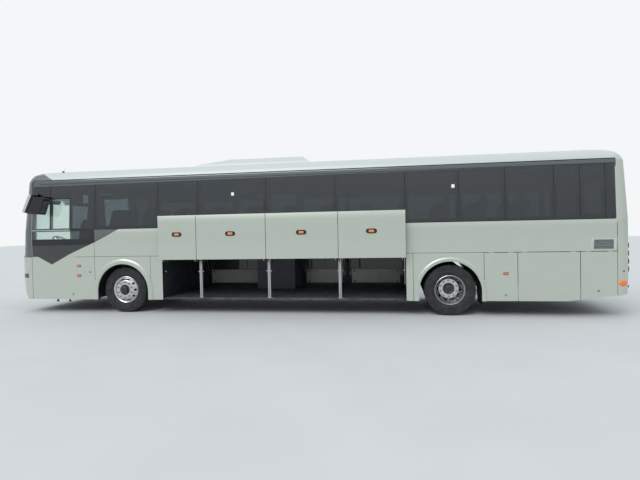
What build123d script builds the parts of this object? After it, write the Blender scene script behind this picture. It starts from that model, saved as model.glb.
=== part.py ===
from build123d import *
from math import cos, radians, sin, tan
import os

# Coach bus in millimetres. The front is at -X, the driver's side at -Y, the ground at Z = 0,
# and the origin lies on the ground at mid length on the centre plane.

# Driving dimensions
LENGTH = 12960.0
WIDTH = 2550.0
WHEELBASE = 7000.0
FRONT_OVERHANG = 2660.0
SKIRT_BOTTOM = 300.0
FLAP_LINE = 1251.0
WAIST = 1864.0
COVE_LINE = 2996.0
ROOF_TOP = 3235.0
WALL = 60.0
GLASS = 8.0
PANEL_GAP = 10.0
SEAM = 6.0
SEAM_DEPTH = 4.0

FRONT = -LENGTH / 2
REAR = LENGTH / 2
SIDE = WIDTH / 2
FRONT_AXLE = FRONT + FRONT_OVERHANG
REAR_AXLE = FRONT_AXLE + WHEELBASE

# Wheels and running gear
TYRE_R = 505.0
TYRE_W = 290.0
RIM_R = 286.0
RIM_WALL = 12.0
RIM_W = 230.0
FRONT_TRACK = 2080.0
TWIN_OUTER_Y = 1085.0
TWIN_SPACING = 325.0
DISC_OFFSET = TWIN_SPACING / 2
SPINDLE_R = 50.0
STUB_R = 40.0
STUB_END = 1150.0
BOLT_CIRCLE_R = 167.5
BOLT_COUNT = 10
KINGPIN_Y = 860.0
KINGPIN_R = 24.0
JACK_PAD_DROP = 157.0
PIN_CLEAR = 0.3

# Arches
ARCH_R = 600.0
ARCH_Z = 480.0
TRIM_PROUD = 18.0
FRONT_TRIM = 112.0
REAR_TRIM = 88.0

# Cabin
DECK_TOP = 1235.0
DECK = 70.0
SEAT_ROWS = 12
SEAT_PITCH = 790.0
FIRST_SEAT = -4150.0

# Luggage hold
HOLD_FLOOR = 340.0
HOLD_FLOOR_T = 40.0
POST = 50.0

def spans(start, widths):
    """Neighbouring stretches along X, each as its front edge and rear edge."""
    edges = [start]
    for width in widths:
        edges.append(edges[-1] + width)
    return list(zip(edges, edges[1:]))


# Entrance doors, as front edge and rear edge along X
FRONT_DOOR = (FRONT + 490.0, FRONT + 1470.0)
HATCH_START = FRONT_AXLE + 940.0
MIDDLE_DOOR = (HATCH_START + 1685.0, HATCH_START + 2560.0)
DOORWAYS = [FRONT_DOOR, MIDDLE_DOOR]
DOOR_T = 40.0
DOOR_BOTTOM = SKIRT_BOTTOM + 20

# Luggage hatches
LEFT_HATCHES = spans(HATCH_START, [861.0, 1514.0, 1500.0, 1339.0])
RIGHT_HATCHES = spans(HATCH_START, [1665.0]) + spans(MIDDLE_DOOR[1] + 20.0, [1180.0, 1454.0])
HATCH_T = 35.0
HATCH_BOTTOM = SKIRT_BOTTOM + 5
ARM = 460.0
ARM_CLOSED = -85.0
ARM_OPEN = 63.5
ARM_T = 14.0
ARM_W = 40.0
PIVOT_IN = 112.0
PIVOT_Z = 1130.0

# Rear side flaps
FLAPS = spans(REAR_AXLE + 645.0, [622.0, 1121.0, 647.0])
RIGHT_FLAPS = FLAPS[1:]
FLAP_T = 30.0

# Body outline at each height, from the ground up. The corner radii are those of the plan.
# columns: height, half width, front end, rear end, front corner radius, rear corner radius
OUTLINE = [
    (SKIRT_BOTTOM, SIDE, FRONT + 90, REAR - 80, 330, 190),
    (450, SIDE, FRONT + 18, REAR - 15, 350, 200),
    (700, SIDE, FRONT, REAR, 350, 200),
    (FLAP_LINE, SIDE, FRONT, REAR, 350, 200),
    (1300, SIDE, FRONT + 26, REAR, 350, 200),
    (WAIST, SIDE, FRONT + 60, REAR - 5, 350, 200),
    (2960, SIDE - 68, FRONT + 150, REAR - 55, 350, 200),
    (3050, SIDE - 95, FRONT + 190, REAR - 95, 340, 200),
    (3120, SIDE - 145, FRONT + 235, REAR - 160, 330, 200),
    (3170, SIDE - 235, FRONT + 330, REAR - 270, 320, 200),
    (3200, SIDE - 375, FRONT + 480, REAR - 430, 300, 200),
    (ROOF_TOP, SIDE - 975, FRONT + 1180, REAR - 980, 250, 200),
]
BOW_FRONT = 60.0
BOW_REAR = 25.0
# Reaches past both sides of the bus, and past all of it
WIDE = 2000.0
BIG = 8000.0


def box(x0, x1, y0, y1, z0, z1):
    """A block between two corners."""
    return Pos((x0 + x1) / 2, (y0 + y1) / 2, (z0 + z1) / 2) * Box(x1 - x0, y1 - y0, z1 - z0)


def tube_along(axis, x, y, z, r, a, b):
    """A round bar along one axis, from a to b on it."""
    if axis == "x":
        return Pos((a + b) / 2, y, z) * Rot(0, 90, 0) * Cylinder(r, b - a)
    if axis == "y":
        return Pos(x, (a + b) / 2, z) * Rot(90, 0, 0) * Cylinder(r, b - a)
    return Pos(x, y, (a + b) / 2) * Cylinder(r, b - a)


def bar_between(start, end, r):
    """A round bar from one point to another."""
    start, end = Vector(*start), Vector(*end)
    length = (end - start).length
    return Plane(origin=start, z_dir=end - start) * Pos(0, 0, length / 2) * Cylinder(r, length)


def side_prism(points, y0, y1):
    """An outline drawn in the side view, given a depth across the bus."""
    face = make_face(Polyline([(x, 0, z) for x, z in points], close=True))
    solid = extrude(face, amount=abs(y1 - y0), dir=(0, 1, 0))
    return Pos(0, min(y0, y1), 0) * solid


def front_prism(points, x0, x1):
    """An outline drawn in the front view, given a length along the bus."""
    face = make_face(Polyline([(0, y, z) for y, z in points], close=True))
    return Pos(min(x0, x1), 0, 0) * extrude(face, amount=abs(x1 - x0), dir=(1, 0, 0))


def mirrored(shape):
    return mirror(shape, about=Plane.XZ)


def both_sides(shapes):
    return [s for shape in shapes for s in (shape, mirrored(shape))]


def outline_at(row, inset, drop):
    z, half, front, rear, r_front, r_rear = row
    half, front, rear = half - inset, front + inset, rear - inset
    with BuildSketch() as plan:
        with BuildLine():
            Line((front + BOW_FRONT, -half), (rear - BOW_REAR, -half))
            ThreePointArc((rear - BOW_REAR, -half), (rear, 0), (rear - BOW_REAR, half))
            Line((rear - BOW_REAR, half), (front + BOW_FRONT, half))
            ThreePointArc((front + BOW_FRONT, half), (front, 0), (front + BOW_FRONT, -half))
        make_face()
        fillet(plan.vertices().sort_by(Axis.X)[:2], r_front - inset)
        fillet(plan.vertices().sort_by(Axis.X)[-2:], r_rear - inset)
    return Pos(0, 0, z - drop) * plan.sketch.faces()[0]


def hull(inset=0.0, open_below=False):
    """The body's outer form, or the same form lying `inset` inside it."""
    rows = []
    for row in OUTLINE:
        drop = inset if row[0] > COVE_LINE else 0
        rows.append(outline_at(row, inset, drop))
    if open_below:
        rows[0] = outline_at((SKIRT_BOTTOM - 200,) + OUTLINE[0][1:], inset, 0)
    return loft(rows, ruled=True)


def kept(shape):
    """The solids of a shape, without the slivers that a cut can leave."""
    return Compound([s for s in shape.solids() if s.volume > 1000])


def write(name, *shapes):
    solids = [s for shape in shapes for s in shape.solids()]
    export_step(solids[0] if len(solids) == 1 else Compound(solids), f"parts/{name}.step")


# Body shells
OUTER = hull()
BEHIND_GLASS = hull(GLASS, True)
INNER = hull(WALL, True)
SKIN = OUTER - INNER
PANE = OUTER - BEHIND_GLASS
SHALLOW = OUTER - hull(SEAM, True)
LAMP_DEPTH = OUTER - hull(40, True)

MASK_X = FRONT + 430.0
# The front side panel ends here, below the driver's window
DRIVER_SEAM = FRONT + 1990.0
REAR_X = REAR - 265.0
HOOD_TOP_X = FRONT + 310.0
HOOD_LOW_X = FRONT + 950.0
SCREEN_X = FRONT + 270.0
SCREEN_BOTTOM = 1310.0
SCREEN_TOP = 2880.0

# Seams between fixed panels. columns: place along X, lower end, upper end
SEAMS = [
    (DRIVER_SEAM, SKIRT_BOTTOM, 1560.0),
    (FRONT_AXLE + 662, SKIRT_BOTTOM, FLAP_LINE),
    (REAR_AXLE - 712, SKIRT_BOTTOM, FLAP_LINE),
    (FLAPS[0][0], SKIRT_BOTTOM, FLAP_LINE),
    (REAR_X - SEAM, SKIRT_BOTTOM, WAIST),
]

# The driver's window glass dips in a V below the waist
GLASS_BAND = [
    (MASK_X + SEAM, FLAP_LINE + 10),
    (MASK_X + 150, FLAP_LINE + 10),
    (FRONT + 928, 1085.0),
    (FRONT + 1388, 1317.0),
    (DRIVER_SEAM, 1567.0),
    (DRIVER_SEAM + 620, WAIST),
    (REAR_X - 20, WAIST),
    (REAR_X - 20, 2900.0),
    (MASK_X + SEAM, 2850.0),
]
# Where one pane ends and the next starts, from the front axle rearward
PANE_JOINTS = [FRONT_AXLE + x for x in (-639, 856, 1780, 3284, 4745, 6148, 7187, 8052, 8936, 9394, 9837)]
PANE_JOINT = 12.0
WINDOW_SILL = 1930.0
WINDOW_HEAD = 2840.0
HALF_PILLAR = 66.0
# The driver's window: a fixed quarter pane, a sliding pane and a fixed one, over a low pane
SLIDING_PANE = (FRONT + 920.0, FRONT + 1400.0)
SLIDING_TOP = 2560.0
# columns: opening's front edge, rear edge, lower edge, upper edge
DRIVER_WINDOWS = [
    (FRONT + 520.0, SLIDING_PANE[0] - 30, WAIST + 30, SLIDING_TOP - 25),
    (SLIDING_PANE[0] + 20, SLIDING_PANE[1] - 20, WAIST + 30, SLIDING_TOP - 25),
    (SLIDING_PANE[1] + 30, PANE_JOINTS[0] - HALF_PILLAR, WAIST + 30, WINDOW_HEAD),
    (FRONT + 520.0, DRIVER_SEAM - 70, 1650.0, WAIST - 40),
]


def clear_of_doors(stretches):
    """The parts of some stretches that lie beside the doorways."""
    for a, b in DOORWAYS:
        parts = [p for x0, x1 in stretches for p in ((x0, min(x1, a - 105)), (max(x0, b + 105), x1))]
        stretches = [p for p in parts if p[1] - p[0] > 200]
    return stretches


# Window openings, as front edge and rear edge
WINDOWS = [(a + HALF_PILLAR, b - HALF_PILLAR) for a, b in zip(PANE_JOINTS, PANE_JOINTS[1:])]
RIGHT_WINDOWS = clear_of_doors([(FRONT + 520.0, PANE_JOINTS[0] - HALF_PILLAR)] + WINDOWS)

# Air grille in the left wall, seen from the side. columns: along X, height, way out along X, way out along Z
GRILLE = [(5770, 1290, -1.2, -1), (6180, 1290, 1, -1), (6188, 1490, 1, 1), (5820, 1490, -1.2, 1)]
GRILLE_SLATS = 7
SLAT_RISE = 4.0


def arch_cut(axle_x, radius):
    """The opening of a wheel arch through the side: a half round with straight legs."""
    return Pos(axle_x, 0, ARCH_Z) * Rot(90, 0, 0) * Cylinder(radius, 2 * BIG) + box(
        axle_x - radius, axle_x + radius, -BIG, BIG, SKIRT_BOTTOM - 200, ARCH_Z
    )


def seam(x, z0, z1):
    """A shallow upright line between two fixed panels, cut from both sides of the bus."""
    line = box(x - SEAM / 2, x + SEAM / 2, SIDE - SEAM_DEPTH, SIDE + 50, z0, z1)
    return line + mirrored(line)


def long_seam(z, x0, x1):
    """A shallow lying line between two fixed panels, cut from both sides of the bus."""
    line = box(x0, x1, SIDE - SEAM_DEPTH, SIDE + 50, z - SEAM / 2, z + SEAM / 2)
    return line + mirrored(line)


def half_of(side):
    return box(-BIG, BIG, -BIG if side < 0 else 0, 0 if side < 0 else BIG, -BIG, BIG)


BEHIND_HOOD = side_prism(
    [(HOOD_LOW_X, COVE_LINE), (BIG, COVE_LINE), (BIG, ROOF_TOP + 100), (HOOD_TOP_X, ROOF_TOP + 100)],
    -WIDE, WIDE)
GLASS_ZONE = side_prism(GLASS_BAND, -WIDE, WIDE)


def doorway_cut(side):
    cut = []
    if side > 0:
        for x0, x1 in DOORWAYS:
            cut.append(box(x0, x1, 1000, 1500, DOOR_BOTTOM - 100, WINDOW_HEAD))
    return cut


def glass_zone(side):
    """Where the side glass lies. Each door carries its own."""
    if side < 0:
        return GLASS_ZONE
    zone = GLASS_ZONE - box(-BIG, FRONT_DOOR[1], -WIDE, WIDE, 0, BIG)
    return zone - box(MIDDLE_DOOR[0], MIDDLE_DOOR[1], -WIDE, WIDE, 0, BIG)


def grille_outline(margin):
    return [(x + out * margin, z + up * margin) for x, z, out, up in GRILLE]


def grille_pocket():
    """The hollow between the slats of the left air grille."""
    pocket = side_prism(grille_outline(0), -SIDE - 20, -SIDE + 24)
    pitch = (GRILLE[2][1] - GRILLE[0][1]) / GRILLE_SLATS
    for k in range(GRILLE_SLATS):
        z = GRILLE[0][1] + SLAT_RISE + pitch * k
        slat = [(-SIDE, z), (-SIDE, z + 5), (-SIDE + 24, z + 19), (-SIDE + 24, z + 14)]
        pocket -= front_prism(slat, GRILLE[0][0] - 50, GRILLE[2][0] + 50)
    return pocket


def side_wall(side):
    """Lower panels, window pillars and the cantrail above them, one solid each."""
    wall = SKIN & box(MASK_X, REAR_X, -WIDE, WIDE, FLAP_LINE, COVE_LINE) & half_of(side)
    wall -= glass_zone(side) & PANE
    openings = [(x0, x1, WINDOW_SILL, WINDOW_HEAD) for x0, x1 in (WINDOWS if side < 0 else RIGHT_WINDOWS)]
    for x0, x1, z0, z1 in openings + (DRIVER_WINDOWS if side < 0 else []):
        wall -= box(x0, x1, -WIDE, WIDE, z0, z1)
    for cut in doorway_cut(side):
        wall -= cut
    for x, z0, z1 in SEAMS:
        if z1 > FLAP_LINE:
            wall -= seam(x, z0, z1)
    wall -= long_seam(FLAP_LINE, -BIG, BIG)
    front = wall & box(-BIG, DRIVER_SEAM, -WIDE, WIDE, 0, WINDOW_SILL)
    lower = wall & box(DRIVER_SEAM, BIG, -WIDE, WIDE, 0, WINDOW_SILL)
    if side < 0:
        lower += side_prism(grille_outline(22), -SIDE - 6, -SIDE + 10)
        lower -= grille_pocket()
    for fixed in flap_hinges(side, FLAPS if side < 0 else RIGHT_FLAPS)[0]:
        lower += fixed
    if side > 0:
        for z in DOOR_HINGE_Z[2:]:
            lower += hinge("z", *DOOR_HINGE, z, -11, DOOR_GAP - 11)[0]
    pillars = wall & box(-BIG, BIG, -WIDE, WIDE, WINDOW_SILL, WINDOW_HEAD)
    cantrail = wall & box(-BIG, BIG, -WIDE, WIDE, WINDOW_HEAD, BIG)
    return Compound([s for part in (front, lower, pillars, cantrail) for s in kept(part).solids()])


def side_glass(side):
    glass = glass_zone(side) & PANE & half_of(side)
    for x in PANE_JOINTS:
        glass -= box(x - PANE_JOINT / 2, x + PANE_JOINT / 2, -WIDE, WIDE, 1000, 3000)
    if side < 0:
        a, b = SLIDING_PANE
        glass -= box(MASK_X, DRIVER_SEAM + 640, -WIDE, WIDE, WAIST - PANE_JOINT, WAIST)
        glass -= box(a - PANE_JOINT, a, -WIDE, WIDE, WAIST, 3000)
        glass -= box(b, b + PANE_JOINT, -WIDE, WIDE, WAIST, SLIDING_TOP)
        glass -= box(a, b + PANE_JOINT, -WIDE, WIDE, SLIDING_TOP, SLIDING_TOP + PANE_JOINT)
    return kept(glass)


def skirt(side):
    panel = SKIN & box(MASK_X, REAR_X, -WIDE, WIDE, SKIRT_BOTTOM, FLAP_LINE) & half_of(side)
    panel -= glass_zone(side) & PANE
    panel -= arch_cut(FRONT_AXLE, ARCH_R) + arch_cut(REAR_AXLE, ARCH_R)
    hatches = LEFT_HATCHES if side < 0 else RIGHT_HATCHES
    panel -= box(hatches[0][0], hatches[0][1], -WIDE, WIDE, 0, FLAP_LINE)
    for x0, x1 in hatches[1:] + (FLAPS if side < 0 else RIGHT_FLAPS):
        panel -= box(x0, x1, -WIDE, WIDE, 0, FLAP_LINE)
    if side < 0:
        panel -= box(hatches[0][0], hatches[-1][1], -WIDE, WIDE, 0, FLAP_LINE)
    for cut in doorway_cut(side):
        panel -= cut
    for x, z0, z1 in SEAMS:
        panel -= seam(x, z0, z1)
    panel -= long_seam(FLAP_LINE, -BIG, BIG)
    panel -= rear_slope()
    if side > 0:
        for z in DOOR_HINGE_Z[:2]:
            panel += hinge("z", *DOOR_HINGE, z, -11, DOOR_GAP - 11)[0]
    return kept(panel)


def rear_slope():
    """The lower edge rises towards the rear."""
    return side_prism([(5340, 200), (5340, SKIRT_BOTTOM), (6400, 436), (REAR + 100, 436), (REAR + 100, 200)],
                      -WIDE, WIDE)


# Front mask. Each face is half of what lies on both sides, as (across, height)
INTAKE = (-520.0, 520.0, 390.0, 590.0)
INTAKE_SLATS = 5
SLAT_T = 12.0
FRONT_PLATE = (-270.0, 270.0, 625.0, 750.0)
FOG_LAMP = (850.0, 470.0, 62.0)
HEADLAMP = [(700, 705), (1120, 735), (1290, 790), (1290, 885), (1120, 872), (730, 815)]
TOW_Y, TOW_Z, TOW_HOLE_R = -620.0, 560.0, 42.0


def front_mask():
    mask = SKIN & box(FRONT - 50, MASK_X, -WIDE, WIDE, SKIRT_BOTTOM, FLAP_LINE)
    mask -= tube_along("x", 0, TOW_Y, TOW_Z, TOW_HOLE_R, FRONT - 50, FRONT + 200)
    y0, y1, z0, z1 = INTAKE
    pitch = (z1 - z0) / INTAKE_SLATS
    for k in range(INTAKE_SLATS):
        mask -= box(FRONT - 50, FRONT + 200, y0, y1, z0 + pitch * k, z0 + pitch * (k + 1) - SLAT_T)
    y0, y1, z0, z1 = FRONT_PLATE
    mask -= SHALLOW & box(FRONT - 50, FRONT + 200, y0, y1, z0, z1)
    mask -= SHALLOW & box(FRONT - 50, BIG, -WIDE, WIDE, FLAP_LINE - 300, FLAP_LINE - 300 + SEAM)
    mask -= long_seam(FLAP_LINE, -BIG, BIG)
    for lamp in headlamps():
        mask -= lamp
    return kept(mask)


def screen_zone():
    outline = [(FRONT - 200, SCREEN_BOTTOM), (SCREEN_X - 40, SCREEN_BOTTOM), (SCREEN_X + 60, SCREEN_TOP),
               (FRONT - 200, SCREEN_TOP)]
    return side_prism(outline, -WIDE, WIDE)


def windscreen_frame():
    frame = SKIN & box(FRONT - 50, HOOD_LOW_X, -WIDE, WIDE, FLAP_LINE, ROOF_TOP + 10)
    frame -= box(MASK_X, BIG, -WIDE, WIDE, 0, COVE_LINE)
    frame -= BEHIND_HOOD
    frame -= screen_zone() & PANE
    frame -= box(FRONT - 200, SCREEN_X, -1080, 1080, SCREEN_BOTTOM + 60, SCREEN_TOP - 60)
    return kept(frame)


def windscreen():
    return kept(PANE & screen_zone() & OUTER)


def roof():
    top = SKIN & box(-BIG, BIG, -WIDE, WIDE, COVE_LINE, ROOF_TOP + 10) & BEHIND_HOOD
    return kept(top)


REAR_WINDOW = (-900.0, 900.0, 2000.0, 2760.0)
ENGINE_LID = (-980.0, 980.0, 560.0, 1700.0)
REAR_PLATE = (-270.0, 270.0, 700.0, 830.0)
REAR_SEAM = 1786.0
LOUVRES = 7
# columns: height of each round tail lamp
TAIL_LAMP_Z = (900.0, 1050.0, 1200.0, 1350.0)
TAIL_LAMP_Y, TAIL_LAMP_R = 1095.0, 60.0


def rear_panel():
    panel = SKIN & box(REAR_X, BIG, -WIDE, WIDE, SKIRT_BOTTOM, COVE_LINE)
    y0, y1, z0, z1 = ENGINE_LID
    panel -= box(REAR_X + 150, BIG, y0 - PANEL_GAP, y1 + PANEL_GAP, z0 - PANEL_GAP, z1 + LID_TOP_GAP)
    for y in LID_HINGE_Y:
        panel += hinge("y", LID_HINGE_X, z1 + 5, y, LID_TOP_GAP - 5, -5)[0]
    y0, y1, z0, z1 = REAR_WINDOW
    panel -= box(REAR_X + 150, BIG, y0 - 60, y1 + 60, z0 - 60, z1 + 60) & PANE
    panel -= box(REAR_X + 100, BIG, y0, y1, z0, z1)
    panel -= rear_slope()
    panel -= SHALLOW & box(REAR_X - 10, BIG, -WIDE, WIDE, REAR_SEAM, REAR_SEAM + SEAM)
    for lamp in tail_lamps():
        panel -= lamp
    return kept(panel)


def rear_glass():
    y0, y1, z0, z1 = REAR_WINDOW
    return kept(PANE & box(REAR_X + 150, BIG, y0 - 60, y1 + 60, z0 - 60, z1 + 60))


def engine_lid():
    y0, y1, z0, z1 = ENGINE_LID
    lid = SKIN & box(REAR_X + 150, BIG, y0, y1, z0, z1)
    for k in range(LOUVRES):
        z = 1180 + 55 * k
        louvre = [(REAR - 90, z + 24), (REAR - 90, z + 46), (REAR + 20, z + 22), (REAR + 20, z)]
        lid -= side_prism(louvre, -700, 700)
    y0, y1, z0, z1 = REAR_PLATE
    lid -= SHALLOW & box(REAR_X, BIG, y0, y1, z0, z1)
    for y in LID_HINGE_Y:
        lid += hinge("y", LID_HINGE_X, z1 + 5, y, LID_TOP_GAP - 5, -5)[1]
    return kept(lid)


def flare(axle_x, wide):
    """A wheel arch's trim on the +Y side: a rounded section led round the arch and down both legs."""
    y, r = SIDE, ARCH_R
    with BuildSketch(Plane.XY.offset(ARCH_Z)) as section:
        with BuildLine():
            Line((axle_x + r, y), (axle_x + r, y + TRIM_PROUD - 4))
            ThreePointArc((axle_x + r, y + TRIM_PROUD - 4), (axle_x + r + wide * 0.3, y + TRIM_PROUD + 6),
                          (axle_x + r + wide, y + 6))
            Polyline((axle_x + r + wide, y + 6), (axle_x + r + wide, y), (axle_x + r, y))
        make_face()
    face = section.sketch.faces()[0]
    leg = extrude(face, amount=ARCH_Z - SKIRT_BOTTOM, dir=(0, 0, -1))
    bow = revolve(face, axis=Axis((axle_x, 0, ARCH_Z), (0, -1, 0)), revolution_arc=180)
    return leg + bow + mirror(leg, about=Plane.YZ.offset(axle_x))


def arch_trims():
    return both_sides([flare(FRONT_AXLE, FRONT_TRIM), flare(REAR_AXLE, REAR_TRIM)])


LINER_T = 8.0
LINER_FOOT = 330.0
# columns: axle, inner edge across the bus, inside radius, which the steered tyres need larger
LINERS = [(FRONT_AXLE, 620.0, ARCH_R + 15.0), (REAR_AXLE, 590.0, ARCH_R)]
MUD_FLAP = (640.0, 1200.0, 210.0, 470.0)


def arch_liners():
    """Half barrels that close the arches above the wheels, with mud flaps behind the rear ones."""
    solids = []
    for axle_x, inner, radius in LINERS:
        ring = arch_cut(axle_x, radius + LINER_T) - arch_cut(axle_x, radius)
        shell = ring & box(-BIG, BIG, inner, SIDE - WALL, LINER_FOOT, BIG)
        solids += both_sides(shell.solids())
    y0, y1, z0, z1 = MUD_FLAP
    x = REAR_AXLE + ARCH_R + LINER_T
    return solids + both_sides([box(x, x + LINER_T, y0, y1, z0, z1)])


# Luggage hatches
def hatch_place(side, opened):
    """How far an open hatch stands from where it closes."""
    if not opened:
        return Pos(0, 0, 0)
    out = ARM * (cos(radians(ARM_OPEN)) - cos(radians(ARM_CLOSED)))
    up = ARM * (sin(radians(ARM_OPEN)) - sin(radians(ARM_CLOSED)))
    return Pos(0, side * out, up)


def pin_planes(x0, x1):
    """The inner faces of a hatch's two arms, each with the way that leads outboard along X."""
    return [(x0 + 62.0, 1), (x1 - 62.0, -1)]


PIVOT_Y = SIDE - PIVOT_IN
LINK_Y = PIVOT_Y + ARM * cos(radians(ARM_CLOSED))
LINK_Z = PIVOT_Z + ARM * sin(radians(ARM_CLOSED))
ELBOW_OUT = 185.0
ELBOW_UP = 20.0
PIN_R = 10.0


# The hollow side of a hatch: its rim and the band that carries the lugs. columns: lower end, upper end
HATCH_SKIN = 10.0
PAN_ROWS = [(HATCH_BOTTOM + 50, LINK_Z - 55), (LINK_Z + 55, FLAP_LINE - 65)]
PAN_RIM = 100.0
PAN_RIB = 40.0
HATCH_LAMP_Z = 840.0


def pan_hollows(x0, x1):
    """Pockets that leave a rim and ribs on the back of a hatch."""
    count = max(1, round((x1 - x0) / 480))
    width = (x1 - x0 - 2 * PAN_RIM + PAN_RIB) / count
    pockets = []
    for k in range(count):
        a = x0 + PAN_RIM + width * k
        for z0, z1 in PAN_ROWS:
            pocket = box(a, a + width - PAN_RIB, SIDE - HATCH_T - 5, SIDE - HATCH_SKIN, z0, z1)
            pockets.append(fillet(pocket.edges().filter_by(Axis.Y), 25))
    return pockets


def hatch(x0, x1, side, opened):
    y_out, y_in = SIDE, SIDE - HATCH_T
    panel = box(x0 + PANEL_GAP / 2, x1 - PANEL_GAP / 2, y_in, y_out, HATCH_BOTTOM, FLAP_LINE - PANEL_GAP)
    for pocket in pan_hollows(x0, x1):
        panel -= pocket
    panel += lamp_form((x0 + x1) / 2, HATCH_LAMP_Z, 190, 62, 6)
    for x, way in pin_planes(x0, x1):
        a, b = sorted((x - 3 * way, x - 17 * way))
        lug = box(a, b, LINK_Y - 22, y_in, LINK_Z - 30, LINK_Z + 30)
        lug -= tube_along("x", 0, LINK_Y, LINK_Z, PIN_R + PIN_CLEAR, x - 60, x + 60)
        panel += lug
    if side < 0:
        panel = mirrored(panel)
    return hatch_place(side, opened) * panel


def lamp_form(x, z, length, height, proud):
    """An oval body that stands proud of the +Y side."""
    with BuildSketch(Plane.XZ) as oval:
        SlotOverall(length, height)
    return Pos(x, SIDE, z) * extrude(oval.sketch, amount=proud, dir=(0, 1, 0))


def arm_shape(x, way):
    """One cranked arm, drawn open on the +Y side, its two pins standing towards the post."""
    p = (PIVOT_Y, PIVOT_Z)
    e = (p[0] + ELBOW_OUT, p[1] + ELBOW_UP)
    q = (p[0] + ARM * cos(radians(ARM_OPEN)), p[1] + ARM * sin(radians(ARM_OPEN)))
    with BuildSketch(Plane.YZ) as bar:
        with BuildLine():
            Polyline(p, e, q)
        trace(line_width=ARM_W)
        for c in (p, e, q):
            with Locations(c):
                Circle(ARM_W / 2)
    a, b = sorted((x, x + ARM_T * way))
    solid = Pos(a, 0, 0) * extrude(bar.sketch, ARM_T)
    for c in (p, q):
        s, t = sorted((x, x - 17 * way))
        solid += tube_along("x", 0, c[0], c[1], PIN_R, s, t)
    return solid


def hatch_arms(x0, x1, side, opened):
    solids = []
    for x, way in pin_planes(x0, x1):
        solid = arm_shape(x, way)
        if not opened:
            swing = ARM_CLOSED - ARM_OPEN
            solid = solid.rotate(Axis((0, PIVOT_Y, PIVOT_Z), (1, 0, 0)), swing)
        solids.append(mirrored(solid) if side < 0 else solid)
    return solids


def luggage_hold():
    x0, x1 = LEFT_HATCHES[0][0], LEFT_HATCHES[-1][1]
    top = DECK_TOP - DECK
    floor = box(x0 - 50, x1 + 50, -SIDE + WALL, SIDE - WALL, HOLD_FLOOR - HOLD_FLOOR_T, HOLD_FLOOR)
    floor -= box(MIDDLE_DOOR[0] - WELL_WALL, MIDDLE_DOOR[1] + WELL_WALL, WELL_Y, BIG, 0, BIG)
    solids = [floor]
    for a, b in ((x0 - 50, x0), (x1, x1 + 50)):
        solids.append(box(a, b, -SIDE + WALL, SIDE - WALL, HOLD_FLOOR, top))
    post = box(-POST / 2, POST / 2, SIDE - WALL - POST, SIDE - WALL, HOLD_FLOOR, top)
    solids += [Pos(h[0], 0, 0) * mirrored(post) for h in LEFT_HATCHES[1:]]
    solids.append(Pos(RIGHT_HATCHES[1][1], 0, 0) * post)
    for side, hatches in ((-1, LEFT_HATCHES), (1, RIGHT_HATCHES)):
        for a, b in hatches:
            for x, way in pin_planes(a, b):
                s, t = sorted((x - 3 * way, x - 17 * way))
                plate = box(s, t, PIVOT_Y - 28, PIVOT_Y + 28, PIVOT_Z - 28, top)
                plate -= tube_along("x", 0, PIVOT_Y, PIVOT_Z, PIN_R + PIN_CLEAR, s - 5, t + 5)
                solids.append(mirrored(plate) if side < 0 else plate)
    return solids


STEP_X = -4900.0
FRONT_FLOOR = (900.0, 960.0)
WELL_Y = 330.0
WELL_WALL = 30.0
WELL_FLOOR = DOOR_BOTTOM + 40


def stair_well(x0, x1, top):
    """The steps' box behind a doorway, open to the outside and above: floor, walls, two steps."""
    y0, y1 = WELL_Y, SIDE - WALL
    return [
        box(x0 - WELL_WALL, x1 + WELL_WALL, y0, y1, DOOR_BOTTOM, WELL_FLOOR),
        box(x0 - WELL_WALL, x0, y0, y1, WELL_FLOOR, top),
        box(x1, x1 + WELL_WALL, y0, y1, WELL_FLOOR, top),
        box(x0, x1, y0, y0 + WELL_WALL, WELL_FLOOR, top),
        box(x0, x1, y0 + WELL_WALL, y0 + 300, WELL_FLOOR, 880),
        box(x0, x1, y0 + 300, y0 + 580, WELL_FLOOR, 610),
    ]


def cabin_floor():
    x1 = REAR_X + 200
    low, high = FRONT_FLOOR
    (a, b), (c, d) = ((u - WELL_WALL, v + WELL_WALL) for u, v in DOORWAYS)
    wide = SIDE - WALL
    slabs = [
        box(STEP_X, x1, -wide, WELL_Y, DECK_TOP - DECK, DECK_TOP),
        box(STEP_X, c, WELL_Y, wide, DECK_TOP - DECK, DECK_TOP),
        box(d, x1, WELL_Y, wide, DECK_TOP - DECK, DECK_TOP),
        box(FRONT + 130, STEP_X - 40, -wide, WELL_Y, low, high),
        box(FRONT + 130, a, WELL_Y, wide, low, high),
        box(b, STEP_X - 40, WELL_Y, wide, low, high),
        box(STEP_X - 40, STEP_X, -wide, wide, low, DECK_TOP),
    ]
    solids = [s for slab in slabs for s in kept(slab & INNER).solids()]
    return solids + stair_well(*FRONT_DOOR, high) + stair_well(*MIDDLE_DOOR, DECK_TOP)


# columns: a chassis module's front end, rear end, and its cross members along X
CHASSIS = [
    (FRONT + 200.0, LEFT_HATCHES[0][0] - 50.0, [-6200.0, -5300.0, -4600.0, -3450.0, -3050.0]),
    (LEFT_HATCHES[-1][1] + 50.0, REAR_X + 100.0, [2450.0, 2800.0, 3700.0, 4180.0, 5950.0]),
]
RAIL = (380.0, 460.0, 620.0, 820.0)
TOW_R = 17.0


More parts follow.
